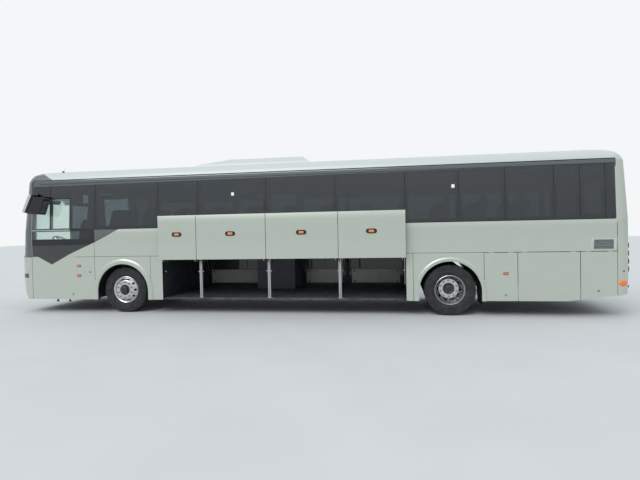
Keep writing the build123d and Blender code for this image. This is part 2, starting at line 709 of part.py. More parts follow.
def chassis():
    """Two ladder frames, each of two rails, cross members and the posts that carry the floor."""
    y0, y1, z0, z1 = RAIL
    bars = []
    for x0, x1, cross in CHASSIS:
        bars += [box(x0, x1, -y1, -y0, z0, z1), box(x0, x1, y0, y1, z0, z1)]
        for x in cross:
            top = DECK_TOP - DECK if x > STEP_X else FRONT_FLOOR[0]
            bars.append(box(x - 40, x + 40, -y0, y0, z0 + 30, z1 - 30))
            for y in (-420, 420):
                bars.append(box(x - 40, x + 40, y - 40, y + 40, z1, top))
    towing = box(FRONT + 160, FRONT + 200, -y1, y1, 520, z1)
    towing += box(FRONT + 160, FRONT + 200, -660, -y1, 520, 700)
    towing += tube_along("x", 0, -620, 560, 32, FRONT + 64, FRONT + 160)
    towing -= tube_along("x", 0, -620, 560, TOW_R, FRONT, FRONT + 180)
    well = box(FRONT_DOOR[0] - WELL_WALL, FRONT_DOOR[1] + WELL_WALL, WELL_Y, BIG, 0, BIG)
    return [s for bar in bars + [towing] for s in kept(bar - well).solids()] + underbody()


FUEL_TANK = (HATCH_START - 300, HATCH_START - 60, RAIL[1], 1130.0, 430.0, 1080.0)
AIR_TANK_X = (FRONT + 480.0, FRONT + 780.0)
SILENCER = (REAR_AXLE + 1250, REAR_AXLE + 2150, 820.0, 640.0)
RADIATOR = (REAR - 830.0, REAR - 330.0, -1120.0, -1030.0, 520.0, 1100.0)


def underbody():
    """Fuel tanks behind the front axle, air tanks, silencer and radiator, each hung on the rails."""
    y0, y1, z0, z1 = RAIL
    tank = box(*FUEL_TANK)
    tank = fillet(tank.edges().filter_by(Axis.Y), 60)
    solids = both_sides([tank])
    for x in AIR_TANK_X:
        solids.append(tube_along("y", x, 0, (z0 + z1) / 2, 100, -y0, WELL_Y - 20))
    a, b, y, z = SILENCER
    silencer = tube_along("x", 0, y, z, 165, a, b)
    silencer += tube_along("x", 0, y - 60, z - 40, 45, b, b + 500)
    for x in (a + 120, b - 160):
        silencer += box(x, x + 40, y1, y, z + 60, z + 100)
    x0, x1, ya, yb, za, zb = RADIATOR
    radiator = box(x0, x1, ya, yb, za, zb)
    for k in range(8):
        x = x0 + 40 + 55 * k
        radiator -= box(x, x + 35, ya - 5, ya + 12, za + 40, zb - 40)
    for x in (x0 + 60, x1 - 120):
        radiator += box(x, x + 60, yb, -y1, z0 + 40, z0 + 100)
    return solids + [silencer, radiator]


# A double seat seen from the side. columns: forward from its row line, height above the deck
SEAT_FOOT = [(0, 0), (60, 0), (60, 320), (-60, 360)]
SEAT_CUSHION = [(-60, 360), (60, 320), (430, 340), (470, 380), (450, 440), (120, 420), (-71, 420)]
SEAT_BACK = [(120, 420), (90, 500), (-60, 1020), (-130, 1090), (-190, 1060), (-71, 420)]
SEAT_INNER, SEAT_OUTER = 240.0, 1180.0
PLACE_GAP = 30.0
HEAD_R = 110.0


def seat_front():
    """What a double seat fills in the front view: two places with rounded heads."""
    half = (SEAT_OUTER - SEAT_INNER - PLACE_GAP) / 2
    top = DECK_TOP + SEAT_BACK[3][1] + 20
    with BuildSketch(Plane.YZ) as view:
        for y in (SEAT_INNER + half / 2, SEAT_OUTER - half / 2):
            with Locations((y, (DECK_TOP + SEAT_FOOT[2][1] + top) / 2)):
                RectangleRounded(half, top - DECK_TOP - SEAT_FOOT[2][1], HEAD_R)
        with Locations(((SEAT_INNER + SEAT_OUTER) / 2, DECK_TOP + 620)):
            Rectangle(SEAT_OUTER - SEAT_INNER - 2 * HEAD_R, 300)
    return view.sketch


def seats(side):
    """Double seats in rows along one side: foot, cushion and back with a place for each rider."""
    front = seat_front()
    solids = []
    for row in range(SEAT_ROWS):
        x = FIRST_SEAT + SEAT_PITCH * row
        if side > 0 and MIDDLE_DOOR[0] - 600 < x < MIDDLE_DOOR[1] + 250:
            continue
        outline = [(x - u, DECK_TOP + w) for u, w in SEAT_FOOT]
        parts = [side_prism(outline, SEAT_INNER + 150, SEAT_OUTER)]
        outline = [(x - u, DECK_TOP + w) for u, w in SEAT_CUSHION]
        cushion = side_prism(outline, SEAT_INNER, SEAT_OUTER)
        middle = (SEAT_INNER + SEAT_OUTER) / 2
        cushion -= box(x - 480, x - 60, middle - PLACE_GAP / 2, middle + PLACE_GAP / 2, DECK_TOP + 400, BIG)
        outline = [(x - u, DECK_TOP + w) for u, w in SEAT_BACK]
        back = side_prism(outline, SEAT_INNER, SEAT_OUTER)
        back &= extrude(Pos(x - 500, 0, 0) * front, amount=900, dir=(1, 0, 0))
        parts += [cushion, back]
        for block in parts:
            solids += [mirrored(b) if side < 0 else b for b in kept(block).solids()]
    return solids


# Parcel racks above the seats. columns: across, height
RACK = [(720, 2600), (760, 2560), (1250, 2540), (1250, 2570), (780, 2600), (745, 2760), (715, 2760)]


def parcel_racks():
    """Open shelves with a lip that run along the cabin and leave the doorways free."""
    solids = []
    for side in (-1, 1):
        x0, x1 = PANE_JOINTS[0] + 100, REAR_X - 100
        stretches = [(x0, x1)] if side < 0 else clear_of_doors([(x0, x1)])
        for a, b in stretches:
            shelf = front_prism(RACK, a, b) & INNER
            solids.append(mirrored(shelf) if side < 0 else shelf)
    return solids


DRIVER_X, DRIVER_Y = FRONT + 1400.0, -750.0
STEER_FOOT = (FRONT + 520.0, DRIVER_Y, 1180.0)
STEER_LEAN = 35
# columns: along X from the driver's seat, height above the front floor
DRIVER_BACK = [(-60, 440), (40, 440), (165, 1120), (130, 1150), (70, 1130), (-30, 560)]
DASH = [(-1120, 0), (-1120, 460), (-970, 540), (-860, 525), (-810, 470), (-820, 240), (-920, 0)]


def driver_station():
    """The driver's seat, and the dashboard with its steering column and wheel."""
    x, y, floor = DRIVER_X, DRIVER_Y, FRONT_FLOOR[1]
    cushion = box(x - 460, x + 20, y - 250, y + 250, floor + 330, floor + 460)
    seat = box(x - 380, x - 60, y - 190, y + 190, floor, floor + 330)
    seat += fillet(cushion.edges().filter_by(Axis.Z), 60)
    back = side_prism([(x + u, floor + w) for u, w in DRIVER_BACK], y - 240, y + 240)
    seat += fillet(back.edges().filter_by(Axis.Y).sort_by(Axis.Z)[-3:], 20)
    dash = side_prism([(x + u, floor + w) for u, w in DASH], -1100, 300)
    dash += side_prism([(x - 1000, floor + 500), (x - 980, floor + 620), (x - 850, floor + 600),
                        (x - 850, floor + 500)], y - 260, y + 260)
    place = Pos(*STEER_FOOT) * Rot(0, STEER_LEAN, 0)
    dash += place * Pos(0, 0, 250) * Cylinder(25, 500)
    dash += place * Pos(0, 0, 500) * Torus(215, 14)
    dash += place * Pos(0, 0, 500) * Cylinder(60, 24)
    for k in range(3):
        dash += place * Pos(0, 0, 500) * Rot(0, 0, 120 * k) * Pos(107, 0, 0) * Box(215, 34, 14)
    return [seat, dash]


def engine():
    return box(4300, 5850, -RAIL[0], RAIL[0], 480, 1120)


# Wheels
def tyre(y):
    """A tyre round the Y axis, its middle plane at y."""
    w, r = TYRE_W / 2, TYRE_R
    half = [(RIM_R, w - 25), (RIM_R + 60, w), (r - 45, w - 4), (r, w - 30)]
    section = make_face(Polyline([(u, -v) for u, v in half] + half[::-1], close=True))
    return Pos(0, y, 0) * Rot(-90, 0, 0) * revolve(Rot(90, 0, 0) * section, Axis.Z)


def rim(y, way):
    """One rim with its disc, whose face stands DISC_OFFSET from the middle plane towards way."""
    w, r, face = RIM_W / 2, RIM_R - RIM_WALL, DISC_OFFSET
    points = [(RIM_R, -w), (RIM_R, w), (r, w), (r, w - 15), (228, face - 12), (205, face),
              (0, face), (0, face - 14), (200, face - 14), (218, face - 24), (r, w - 38), (r, -w)]
    form = revolve(Rot(90, 0, 0) * make_face(Polyline(points, close=True)), Axis.Z)
    for k in range(BOLT_COUNT):
        a = radians(360 / BOLT_COUNT * k)
        form -= Pos(244 * cos(a), 244 * sin(a), 0) * Cylinder(20, 400)
    return Pos(0, y, 0) * Rot(-90 * way, 0, 0) * form


def nuts(y0, y1):
    ring = None
    for k in range(BOLT_COUNT):
        a = radians(360 / BOLT_COUNT * (k + 0.5))
        nut = tube_along("y", BOLT_CIRCLE_R * cos(a), 0, BOLT_CIRCLE_R * sin(a), 16, y0, y1)
        ring = nut if ring is None else ring + nut
    return ring


def steered_wheel():
    """A front wheel on the +Y side, its axis on the Y axis through the origin."""
    c = FRONT_TRACK / 2
    face = c + DISC_OFFSET
    hub = tube_along("y", 0, 0, 0, 85, c - 60, face + 40) + nuts(face - 5, face + 24)
    wheel = rim(c, 1) + hub - tube_along("y", 0, 0, 0, STUB_R + PIN_CLEAR, c - 80, STUB_END + 4)
    return [tyre(c), wheel]


def twin_wheel():
    """A pair of rear wheels on the +Y side, their discs face to face on one hub."""
    inner, outer = TWIN_OUTER_Y - TWIN_SPACING, TWIN_OUTER_Y
    mate = (inner + outer) / 2
    hub = tube_along("y", 0, 0, 0, 120, mate - 60, mate) + tube_along("y", 0, 0, 0, 75, mate, mate + 140)
    wheel = rim(outer, -1) + rim(inner, 1) + hub + nuts(mate + 10, mate + 40)
    wheel -= tube_along("y", 0, 0, 0, SPINDLE_R + PIN_CLEAR, mate - 300, mate + 80)
    return [tyre(outer), tyre(inner), wheel]


def knuckle():
    """The +Y side's steering knuckle: king pin, yoke, stub axle and steering arm."""
    z = TYRE_R
    eye_z, lug = 52.0, 48.0
    body = tube_along("z", 0, KINGPIN_Y, 0, KINGPIN_R, z - 100, z + 100)
    for z0, z1 in ((z - 100, z - eye_z), (z + eye_z, z + 100)):
        body += tube_along("z", 0, KINGPIN_Y, 0, lug, z0, z1)
        body += box(-lug, lug, KINGPIN_Y, KINGPIN_Y + 80, z0, z1)
    body += box(-lug - 10, lug + 10, KINGPIN_Y + 55, KINGPIN_Y + 85, z - 100, z + 100)
    body += tube_along("y", 0, 0, z, STUB_R, KINGPIN_Y + 80, STUB_END)
    body += box(0, 180, KINGPIN_Y - 22, KINGPIN_Y + 22, z - 100, z - 60)
    body += tube_along("z", 180, KINGPIN_Y, 0, 24, z - 100, z - 60)
    body += tube_along("z", 180, KINGPIN_Y, 0, 11, z - 150, z - 60)
    return Pos(FRONT_AXLE, 0, 0) * body


def tie_rod():
    z = TYRE_R - 127
    rod = tube_along("y", 180, 0, z, 17, -KINGPIN_Y + 15, KINGPIN_Y - 15)
    for y in (-KINGPIN_Y, KINGPIN_Y):
        rod += tube_along("z", 180, y, 0, 26, z - 20, z + 20)
    for y in (-KINGPIN_Y, KINGPIN_Y):
        rod -= tube_along("z", 180, y, 0, 11 + PIN_CLEAR, z - 40, z + 40)
    return Pos(FRONT_AXLE, 0, 0) * rod


def front_axle():
    z = TYRE_R
    beam = box(-45, 45, -700, 700, z - 110, z - 20)
    for side in (-1, 1):
        eye = tube_along("z", 0, side * KINGPIN_Y, 0, 46, z - 51, z + 51)
        y0, y1 = sorted((side * 690, side * (KINGPIN_Y - 10)))
        bar = box(-45, 45, y0, y1, z - 51, z + 20)
        beam += eye + bar
    for side in (-1, 1):
        beam -= tube_along("z", 0, side * KINGPIN_Y, 0, KINGPIN_R + PIN_CLEAR, z - 80, z + 80)
        for x in (-1, 1):
            beam += box(min(0, x * 260), max(0, x * 260), side * 420 - 40, side * 420 + 40, z - 110, z - 60)
            beam += tube_along("z", x * 220, side * 420, 0, 70, z - 60, 620)
        beam += box(-45, 45, side * 420 - 40, side * 420 + 40, z - JACK_PAD_DROP, z - 110)
    return Pos(FRONT_AXLE, 0, 0) * beam


def rear_axle():
    z = TYRE_R
    beam = tube_along("y", 0, 0, z, 75, -620, 620) + Pos(0, 0, z) * Sphere(185)
    beam += tube_along("y", 0, 0, z, SPINDLE_R, -TWIN_OUTER_Y + 95, TWIN_OUTER_Y - 95)
    for side in (-1, 1):
        for x in (-1, 1):
            beam += box(min(0, x * 380), max(0, x * 380), side * 420 - 40, side * 420 + 40, z - 90, z - 30)
            beam += tube_along("z", x * 330, side * 420, 0, 80, z - 30, 620)
    beam -= box(-BIG, BIG, -BIG, BIG, 620, BIG)
    return Pos(REAR_AXLE, 0, 0) * beam


# Entrance doors
DOOR_GAP = 16.0
DOOR_POST = (FRONT_DOOR[1] - 60.0, 1110.0)
DOOR_ARM = 432.0
DOOR_ARM_CLOSED = 173.4
DOOR_ARM_OPEN = 27.5
DOOR_ELBOW = (15.0, 205.0)
DOOR_ARM_Z = (560.0, 920.0)
LEAF_GLASS_BOTTOM = 1040.0


def door_leaf(x0, x1):
    top = WINDOW_HEAD
    place = box(x0 + DOOR_GAP, x1 - DOOR_GAP, 1000, 1500, DOOR_BOTTOM, top - PANEL_GAP)
    leaf = (OUTER - hull(DOOR_T, True)) & place
    pane = box(x0 + 110, x1 - 110, 1000, 1500, LEAF_GLASS_BOTTOM, top - 120)
    return kept((leaf - pane) + (PANE & pane))


def polar(centre, length, angle):
    return (centre[0] + length * cos(radians(angle)), centre[1] + length * sin(radians(angle)))


def front_door():
    leaf = door_leaf(*FRONT_DOOR)
    x, y = polar(DOOR_POST, DOOR_ARM, DOOR_ARM_CLOSED)
    for z in DOOR_ARM_Z:
        lug = box(x - 22, x + 22, y - 22, SIDE - DOOR_T + 2, z + 17, z + 31)
        lug -= tube_along("z", x, y, 0, PIN_R + PIN_CLEAR, z, z + 60)
        leaf += lug
    return leaf


def front_door_post():
    x, y = DOOR_POST
    post = tube_along("z", x, y, 0, 25, DOOR_BOTTOM + 40 + PIN_CLEAR, 2300)
    elbow = (x + DOOR_ELBOW[0], y + DOOR_ELBOW[1])
    link = polar(DOOR_POST, DOOR_ARM, DOOR_ARM_OPEN)
    for z in DOOR_ARM_Z:
        with BuildSketch(Plane.XY.offset(z)) as bar:
            with BuildLine():
                Polyline(DOOR_POST, elbow, link)
            trace(line_width=ARM_W)
            for c in (elbow, link):
                with Locations(c):
                    Circle(ARM_W / 2)
        arm = extrude(bar.sketch, ARM_T) + tube_along("z", link[0], link[1], 0, PIN_R, z, z + 31)
        post += arm.rotate(Axis((x, y, 0), (0, 0, 1)), DOOR_ARM_CLOSED - DOOR_ARM_OPEN)
    return post


def door_bracket():
    """The bearing that holds the top of the front door's post to the pillar."""
    x, y = DOOR_POST
    plate = box(x - 40, FRONT_DOOR[1] + 30, y - 40, 1250, 2300 + PIN_CLEAR, 2320) & INNER
    return plate


KNUCKLE_R = 4.5
KNUCKLE = 30.0
KNUCKLE_DEPTH = 14.0
HINGE_PIN_R = 2.5
DOOR_HINGE = (MIDDLE_DOOR[0] + 11.0, SIDE - 5.0)
DOOR_HINGE_Z = (520.0, 1080.0, 1700.0)
FLAP_HINGE = (SIDE - 4.5, FLAP_LINE - PANEL_GAP / 2)
LID_HINGE_X = REAR - 4.5
LID_HINGE_Y = (-600.0, 600.0)
LID_TOP_GAP = 18.0


def hinge(axis, u, v, along, to_fixed, to_moving):
    """A three-knuckle hinge. Returns what the fixed panel carries and what the moving one carries.

    u and v place the pin; each panel's edge lies at to_fixed or to_moving from it along v for a
    lying pin, along u for a standing one."""
    half = KNUCKLE / 2

    def knuckle_at(a, b, reach):
        barrel = tube_along(axis, *{"x": (0, u, v), "y": (u, 0, v), "z": (u, v, 0)}[axis], KNUCKLE_R, a, b)
        lo, hi = sorted((0, reach))
        if axis == "x":
            return barrel + box(a, b, u - KNUCKLE_DEPTH, u, v + lo, v + hi)
        if axis == "y":
            return barrel + box(u - KNUCKLE_DEPTH, u, a, b, v + lo, v + hi)
        return barrel + box(u + lo, u + hi, v - KNUCKLE_DEPTH, v, a, b)

    def bar(r, a, b):
        return tube_along(axis, *{"x": (0, u, v), "y": (u, 0, v), "z": (u, v, 0)}[axis], r, a, b)

    fixed = knuckle_at(along - half, along + half, to_fixed)
    fixed += bar(HINGE_PIN_R, along - 3 * half, along + 3 * half)
    moving = knuckle_at(along - 3 * half, along - half - 0.5, to_moving)
    moving += knuckle_at(along + half + 0.5, along + 3 * half, to_moving)
    return fixed, moving - bar(HINGE_PIN_R + PIN_CLEAR, along - 2 * KNUCKLE, along + 2 * KNUCKLE)


def flap_hinges(side, flaps):
    """All hinges of one side's rear flaps: the fixed halves, and the moving ones flap by flap."""
    fixed, moving = [], []
    for x0, x1 in flaps:
        pair = []
        for x in (x0 + 130, x1 - 130):
            f, g = hinge("x", *FLAP_HINGE, x, PANEL_GAP / 2, -PANEL_GAP / 2)
            fixed.append(mirrored(f) if side < 0 else f)
            pair.append(mirrored(g) if side < 0 else g)
        moving.append(pair)
    return fixed, moving


def middle_door():
    leaf = door_leaf(*MIDDLE_DOOR)
    for z in DOOR_HINGE_Z:
        leaf += hinge("z", *DOOR_HINGE, z, -11, DOOR_GAP - 11)[1]
    return leaf


def flap(x0, x1, side):
    z1 = FLAP_LINE - PANEL_GAP
    panel = box(x0 + PANEL_GAP / 2, x1 - PANEL_GAP / 2, SIDE - FLAP_T, SIDE, SKIRT_BOTTOM + 5, z1)
    panel -= Pos(0, 0, 5) * rear_slope()
    return mirrored(panel) if side < 0 else panel


def hung_flap(k, flaps, side):
    """A rear flap with its halves of the hinges."""
    panel = flap(*flaps[k], side)
    for half in flap_hinges(side, flaps)[1][k]:
        panel += half
    return panel


# Fittings
# The left mirror seen from the side. columns: along X from the mask's rear edge, height
MIRROR_CAP = [(190, 2625), (215, 2648), (340, 2640), (300, 2600), (140, 2270), (60, 2255), (33, 2282)]
MIRROR_HEAD = [(300, 2612), (554, 2560), (565, 2520), (448, 2225), (420, 2207), (120, 2240)]
MIRROR_IN, MIRROR_OUT = 1350.0, 1560.0
# columns: side, where along X the outline starts, its scale along X
MIRRORS = [(-1, MASK_X, 1.0), (1, FRONT - 16, 0.8)]


def mirrors():
    """Each a head with a slanted cap in front, on an arm from the pillar."""
    solids = []
    for side, x, scale in MIRRORS:
        head = side_prism([(x + scale * u, z) for u, z in MIRROR_HEAD], MIRROR_IN, MIRROR_OUT)
        head = fillet(head.edges().filter_by(Axis.Y), 18)
        cap = side_prism([(x + scale * u, z) for u, z in MIRROR_CAP], MIRROR_IN - 8, MIRROR_OUT + 8)
        arm = bar_between((MASK_X - 50, 1050, 2800), (x + scale * 310, MIRROR_IN + 60, 2590), 18)
        shape = (head + cap + arm) - OUTER
        solids += [mirrored(s) if side < 0 else s for s in kept(shape).solids()]
    return solids


# Air conditioning unit on the roof. columns: height, front end, rear end, half width
ROOF_UNIT = [
    (3100.0, -2600.0, 500.0, 840.0),
    (3250.0, -2200.0, 298.0, 800.0),
    (3375.0, -1550.0, 126.0, 550.0),
]


FAN_X = (-1330.0, -920.0, -510.0, -100.0)
FAN_R = 165.0


def roof_unit():
    """The housing with four fan wells on its top, each with a hub and blades."""
    rows = []
    for z, x0, x1, y in ROOF_UNIT:
        rows.append(make_face(Polyline([(x0, -y, z), (x1, -y, z), (x1, y, z), (x0, y, z)], close=True)))
    unit = loft(rows, ruled=True) - OUTER
    top = ROOF_UNIT[-1][0]
    for x in FAN_X:
        unit += Pos(x, 0, top + 8) * Cylinder(FAN_R + 20, 16)
        well = Pos(x, 0, top) * Cylinder(FAN_R, 60) - Pos(x, 0, top) * Cylinder(45, 60)
        for k in range(5):
            blade = Rot(0, 0, 72 * k) * Pos(FAN_R / 2, 0, 0) * Rot(25, 0, 0) * Box(FAN_R, 60, 6)
            well -= Pos(x, 0, top - 10) * blade
        unit -= well
    return unit


# Roof hatches. columns: middle along X
ROOF_HATCHES = (FRONT_AXLE - 480.0, REAR_AXLE + 720.0)


def roof_hatches():
    """Two low lids on the roof, each a rounded block that stands on it."""
    lids = []
    for x in ROOF_HATCHES:
        lid = box(x - 400, x + 400, -380, 380, ROOF_TOP - 60, ROOF_TOP + 34)
        lid = fillet(lid.edges().filter_by(Axis.Z), 60)
        lid = chamfer(lid.faces().sort_by(Axis.Z)[-1].edges(), 14)
        lids += kept(lid - OUTER).solids()
    return lids


def headlamps():
    """Swept lamps at the corners and round fog lamps below them."""
    zone = front_prism(HEADLAMP, FRONT - 50, FRONT + 330)
    y, z, r = FOG_LAMP
    fog = tube_along("x", 0, y, z, r, FRONT - 50, FRONT + 200)
    return both_sides([kept(LAMP_DEPTH & zone), kept(LAMP_DEPTH & fog)])


def tail_lamps():
    lamps = []
    for z in TAIL_LAMP_Z:
        lens = tube_along("x", 0, TAIL_LAMP_Y, z, TAIL_LAMP_R, REAR - 200, REAR + 50)
        lamps.append(kept(LAMP_DEPTH & lens))
    return both_sides(lamps)


# columns: along X, height, on both sides or on the left one only
SIDE_LAMPS = [(FRONT + 1600, 1050, False), (FRONT + 1600, 833, False), (REAR_AXLE + 1047, 838, True)]


def side_lamps():
    solids = []
    for x, z, both in SIDE_LAMPS:
        lamp = lamp_form(x, z, 100, 44, 12)
        solids += [mirrored(lamp)] + ([lamp] if both else [])
    return solids


def wipers():
    """Two parked wipers that lie on the foot of the windscreen."""
    lying = hull(-20) - OUTER
    solids = []
    for y in (-760.0, 60.0):
        solids += (lying & box(FRONT - 50, FRONT + 200, y, y + 720, 1345, 1375)).solids()
    return solids


def main():
    os.makedirs("parts", exist_ok=True)
    write("chassis", *chassis())
    write("luggage_hold", *luggage_hold())
    write("cabin_floor", *cabin_floor())
    for side, name in ((-1, "left"), (1, "right")):
        extra = [door_bracket()] if side > 0 else []
        write(f"side_wall_{name}", side_wall(side), *extra)
        write(f"side_glass_{name}", side_glass(side))
        write(f"skirt_{name}", skirt(side))
        write(f"seats_{name}", *seats(side))
    write("roof", roof(), *roof_hatches())
    write("roof_unit", roof_unit())
    write("front_mask", front_mask())
    write("windscreen_frame", windscreen_frame())
    write("windscreen", windscreen())
    write("rear_panel", rear_panel())
    write("rear_glass", rear_glass())
    write("engine_lid", engine_lid())
    write("arch_trims", *arch_trims())
    write("arch_liners", *arch_liners())
    write("parcel_racks", *parcel_racks())
    write("headlamps", *headlamps())
    write("tail_lamps", *tail_lamps())
    write("side_lamps", *side_lamps())
    write("mirrors", *mirrors())
    write("wipers", *wipers())
    write("driver_station", *driver_station())
    write("engine", engine())
    write("front_axle", front_axle())
    write("rear_axle", rear_axle())
    write("tie_rod", tie_rod())
    write("knuckle_left", mirrored(knuckle()))
    write("knuckle_right", knuckle())
    for axle, x, make in (("front", FRONT_AXLE, steered_wheel), ("rear", REAR_AXLE, twin_wheel)):
        wheel = [Pos(x, 0, TYRE_R) * s for s in make()]
        write(f"wheel_{axle}_right", *wheel)
        write(f"wheel_{axle}_left", *[mirrored(s) for s in wheel])
    for side, name, hatches in ((-1, "left", LEFT_HATCHES), (1, "right", RIGHT_HATCHES)):
        opened = side < 0
        for k, (x0, x1) in enumerate(hatches, 1):
            write(f"hatch_{name}_{k}", hatch(x0, x1, side, opened))
            write(f"hatch_arms_{name}_{k}", *hatch_arms(x0, x1, side, opened))
        flaps = FLAPS if side < 0 else RIGHT_FLAPS
        for k in range(len(flaps)):
            write(f"flap_{name}_{k + 1}", hung_flap(k, flaps, side))
    write("front_door", front_door())
    write("front_door_post", front_door_post())
    write("middle_door", middle_door())


if __name__ == "__main__":
    main()
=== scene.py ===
# %% [markdown]
# # Dressing a touring coach
# A coach is a long box of painted sheet metal, dark bonded glass and rubber, standing on six big tyres.
# The solid parts, their sizes and their joints come ready made. This notebook gives them their finish and
# adds what is too fine for a solid model: tread, lenses, seals, fabric, bolts and grilles.
# Each piece names the body that it rides on, so that it swings with its door or turns with its wheel.

# %% Load the finished solids
import math
import bmesh
import bpy
from mathutils import Matrix, Vector
from mathutils.bvhtree import BVHTree


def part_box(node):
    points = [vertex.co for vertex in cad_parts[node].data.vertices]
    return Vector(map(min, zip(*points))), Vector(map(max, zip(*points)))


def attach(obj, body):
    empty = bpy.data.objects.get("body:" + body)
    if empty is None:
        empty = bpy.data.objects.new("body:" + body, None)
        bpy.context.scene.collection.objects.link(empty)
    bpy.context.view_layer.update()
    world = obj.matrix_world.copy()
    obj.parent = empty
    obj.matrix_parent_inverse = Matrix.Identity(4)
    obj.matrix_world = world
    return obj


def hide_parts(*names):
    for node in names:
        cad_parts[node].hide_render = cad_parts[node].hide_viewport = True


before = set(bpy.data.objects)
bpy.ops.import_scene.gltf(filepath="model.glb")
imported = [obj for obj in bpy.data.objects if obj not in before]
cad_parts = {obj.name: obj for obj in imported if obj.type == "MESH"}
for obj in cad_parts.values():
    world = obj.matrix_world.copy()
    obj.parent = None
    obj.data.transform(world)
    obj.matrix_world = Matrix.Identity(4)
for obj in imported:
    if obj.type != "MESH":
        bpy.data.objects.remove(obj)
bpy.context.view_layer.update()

# %% [markdown]
# ## Small tools
# Colours are given as screen values, and light works in linear ones, so one function turns the
# first into the second. A second function adds one shader node with its settings and its links.
# Geometry comes from a few shapes that a workshop would know: a block, a bar, a turned part and a plate.

# %% Colour and shader helpers
def linear(code):
    """A screen colour such as #b4bdb1 as linear red, green, blue and alpha."""
    parts = [int(code[k:k + 2], 16) / 255 for k in (1, 3, 5)]
    return tuple(c / 12.92 if c <= 0.04045 else ((c + 0.055) / 1.055) ** 2.4 for c in parts) + (1.0,)


def add(tree, kind, links=None, **settings):
    """Adds a node. links gives each input a value or another node's output."""
    made = tree.nodes.new(kind)
    for name, value in settings.items():
        setattr(made, name, value)
    for socket, value in (links or {}).items():
        if isinstance(value, bpy.types.NodeSocket):
            tree.links.new(value, made.inputs[socket])
        else:
            made.inputs[socket].default_value = value
    return made


def finish_named(name, colour, metallic=0.0, roughness=0.5, **more):
    """A material with one principled shader. Returns it, its tree and the shader."""
    material = bpy.data.materials.new(name)
    material.use_nodes = True
    tree = material.node_tree
    shader = tree.nodes["Principled BSDF"]
    shader.inputs["Base Color"].default_value = linear(colour)
    shader.inputs["Metallic"].default_value = metallic
    shader.inputs["Roughness"].default_value = roughness
    for socket, value in more.items():
        shader.inputs[socket.replace("_", " ")].default_value = value
    material.diffuse_color = linear(colour)
    return material, tree, shader


def surface_point(tree):
    """Where a point lies on the piece, in metres."""
    return add(tree, "ShaderNodeTexCoord").outputs["Object"]


def noise(tree, size_mm, detail=3.0):
    """Cloudy noise whose patches are about size_mm across."""
    return add(tree, "ShaderNodeTexNoise", {
        "Vector": surface_point(tree), "Scale": 1000 / size_mm, "Detail": detail})


def vary_colour(tree, shader, first, second, size_mm, sharpness=0.5, detail=3.0):
    """The base colour wanders between two tones in patches of size_mm."""
    edge = 0.5 - 0.5 * sharpness
    ramp = add(tree, "ShaderNodeValToRGB", {"Fac": noise(tree, size_mm, detail).outputs["Fac"]})
    ramp.color_ramp.elements[0].position = 0.5 - edge / 2
    ramp.color_ramp.elements[1].position = 0.5 + edge / 2
    ramp.color_ramp.elements[0].color = linear(first)
    ramp.color_ramp.elements[1].color = linear(second)
    tree.links.new(ramp.outputs["Color"], shader.inputs["Base Color"])


def vary_roughness(tree, shader, low, high, size_mm):
    """Roughness wanders between low and high, as wear and wiping leave it."""
    spread = add(tree, "ShaderNodeMapRange", {
        "Value": noise(tree, size_mm).outputs["Fac"], "From Min": 0.35, "From Max": 0.65,
        "To Min": low, "To Max": high})
    tree.links.new(spread.outputs["Result"], shader.inputs["Roughness"])


def bump(tree, shader, height, depth_mm, strength=1.0):
    """Relief of depth_mm from any height pattern of 0 to 1."""
    relief = add(tree, "ShaderNodeBump", {
        "Height": height, "Distance": depth_mm / 1000, "Strength": strength})
    tree.links.new(relief.outputs["Normal"], shader.inputs["Normal"])


def nested(tree, operation, first, second=0.0):
    """One step of arithmetic on a value, or on two."""
    return add(tree, "ShaderNodeMath", {0: first, 1: second}, operation=operation).outputs[0]


def layered(tree, mask, below, above):
    """One colour where the mask is 0, another where it is 1."""
    return add(tree, "ShaderNodeMix", {0: mask, 6: below, 7: above}, data_type="RGBA").outputs[2]


def beyond(tree, coordinate, low, high):
    """How far a coordinate lies outside a stretch. It is less than 0 within the stretch."""
    away = nested(tree, "ABSOLUTE", nested(tree, "SUBTRACT", coordinate, (low + high) / 2))
    return nested(tree, "SUBTRACT", away, (high - low) / 2)


# %% Geometry helpers
SAME_PLACE = 1e-6


def tint(vertices, finish):
    """Gives every face of these new vertices one of the piece's finishes, by number."""
    for face in {f for v in vertices for f in v.link_faces}:
        face.material_index = finish


def block(bm, low, high, round_by=0.0, finish=0, steps=2):
    """A block between two corners, with rounded edges."""
    low, high = Vector(low), Vector(high)
    place = Matrix.Translation((low + high) / 2) @ Matrix.Diagonal((high - low).to_4d())
    made = bmesh.ops.create_cube(bm, size=1.0, matrix=place)["verts"]
    tint(made, finish)
    if round_by:
        edges = list({e for v in made for e in v.link_edges})
        bmesh.ops.bevel(bm, geom=edges, offset=round_by, segments=steps, profile=0.5, affect="EDGES",
                        material=-1)


def bar(bm, start, end, radius, finish=0, sides=16, end_radius=None):
    """A round bar or cone from one point to another."""
    start, end = Vector(start), Vector(end)
    turn = (end - start).to_track_quat("Z", "Y").to_matrix().to_4x4()
    made = bmesh.ops.create_cone(
        bm, cap_ends=True, segments=sides, radius1=radius,
        radius2=radius if end_radius is None else end_radius, depth=(end - start).length,
        matrix=Matrix.Translation((start + end) / 2) @ turn)["verts"]
    tint(made, finish)


def ball(bm, centre, radius, finish=0, sides=12):
    """A small ball, for a joint or a knob."""
    made = bmesh.ops.create_uvsphere(bm, u_segments=sides, v_segments=max(6, sides // 2), radius=radius,
                                     matrix=Matrix.Translation(Vector(centre)))["verts"]
    tint(made, finish)


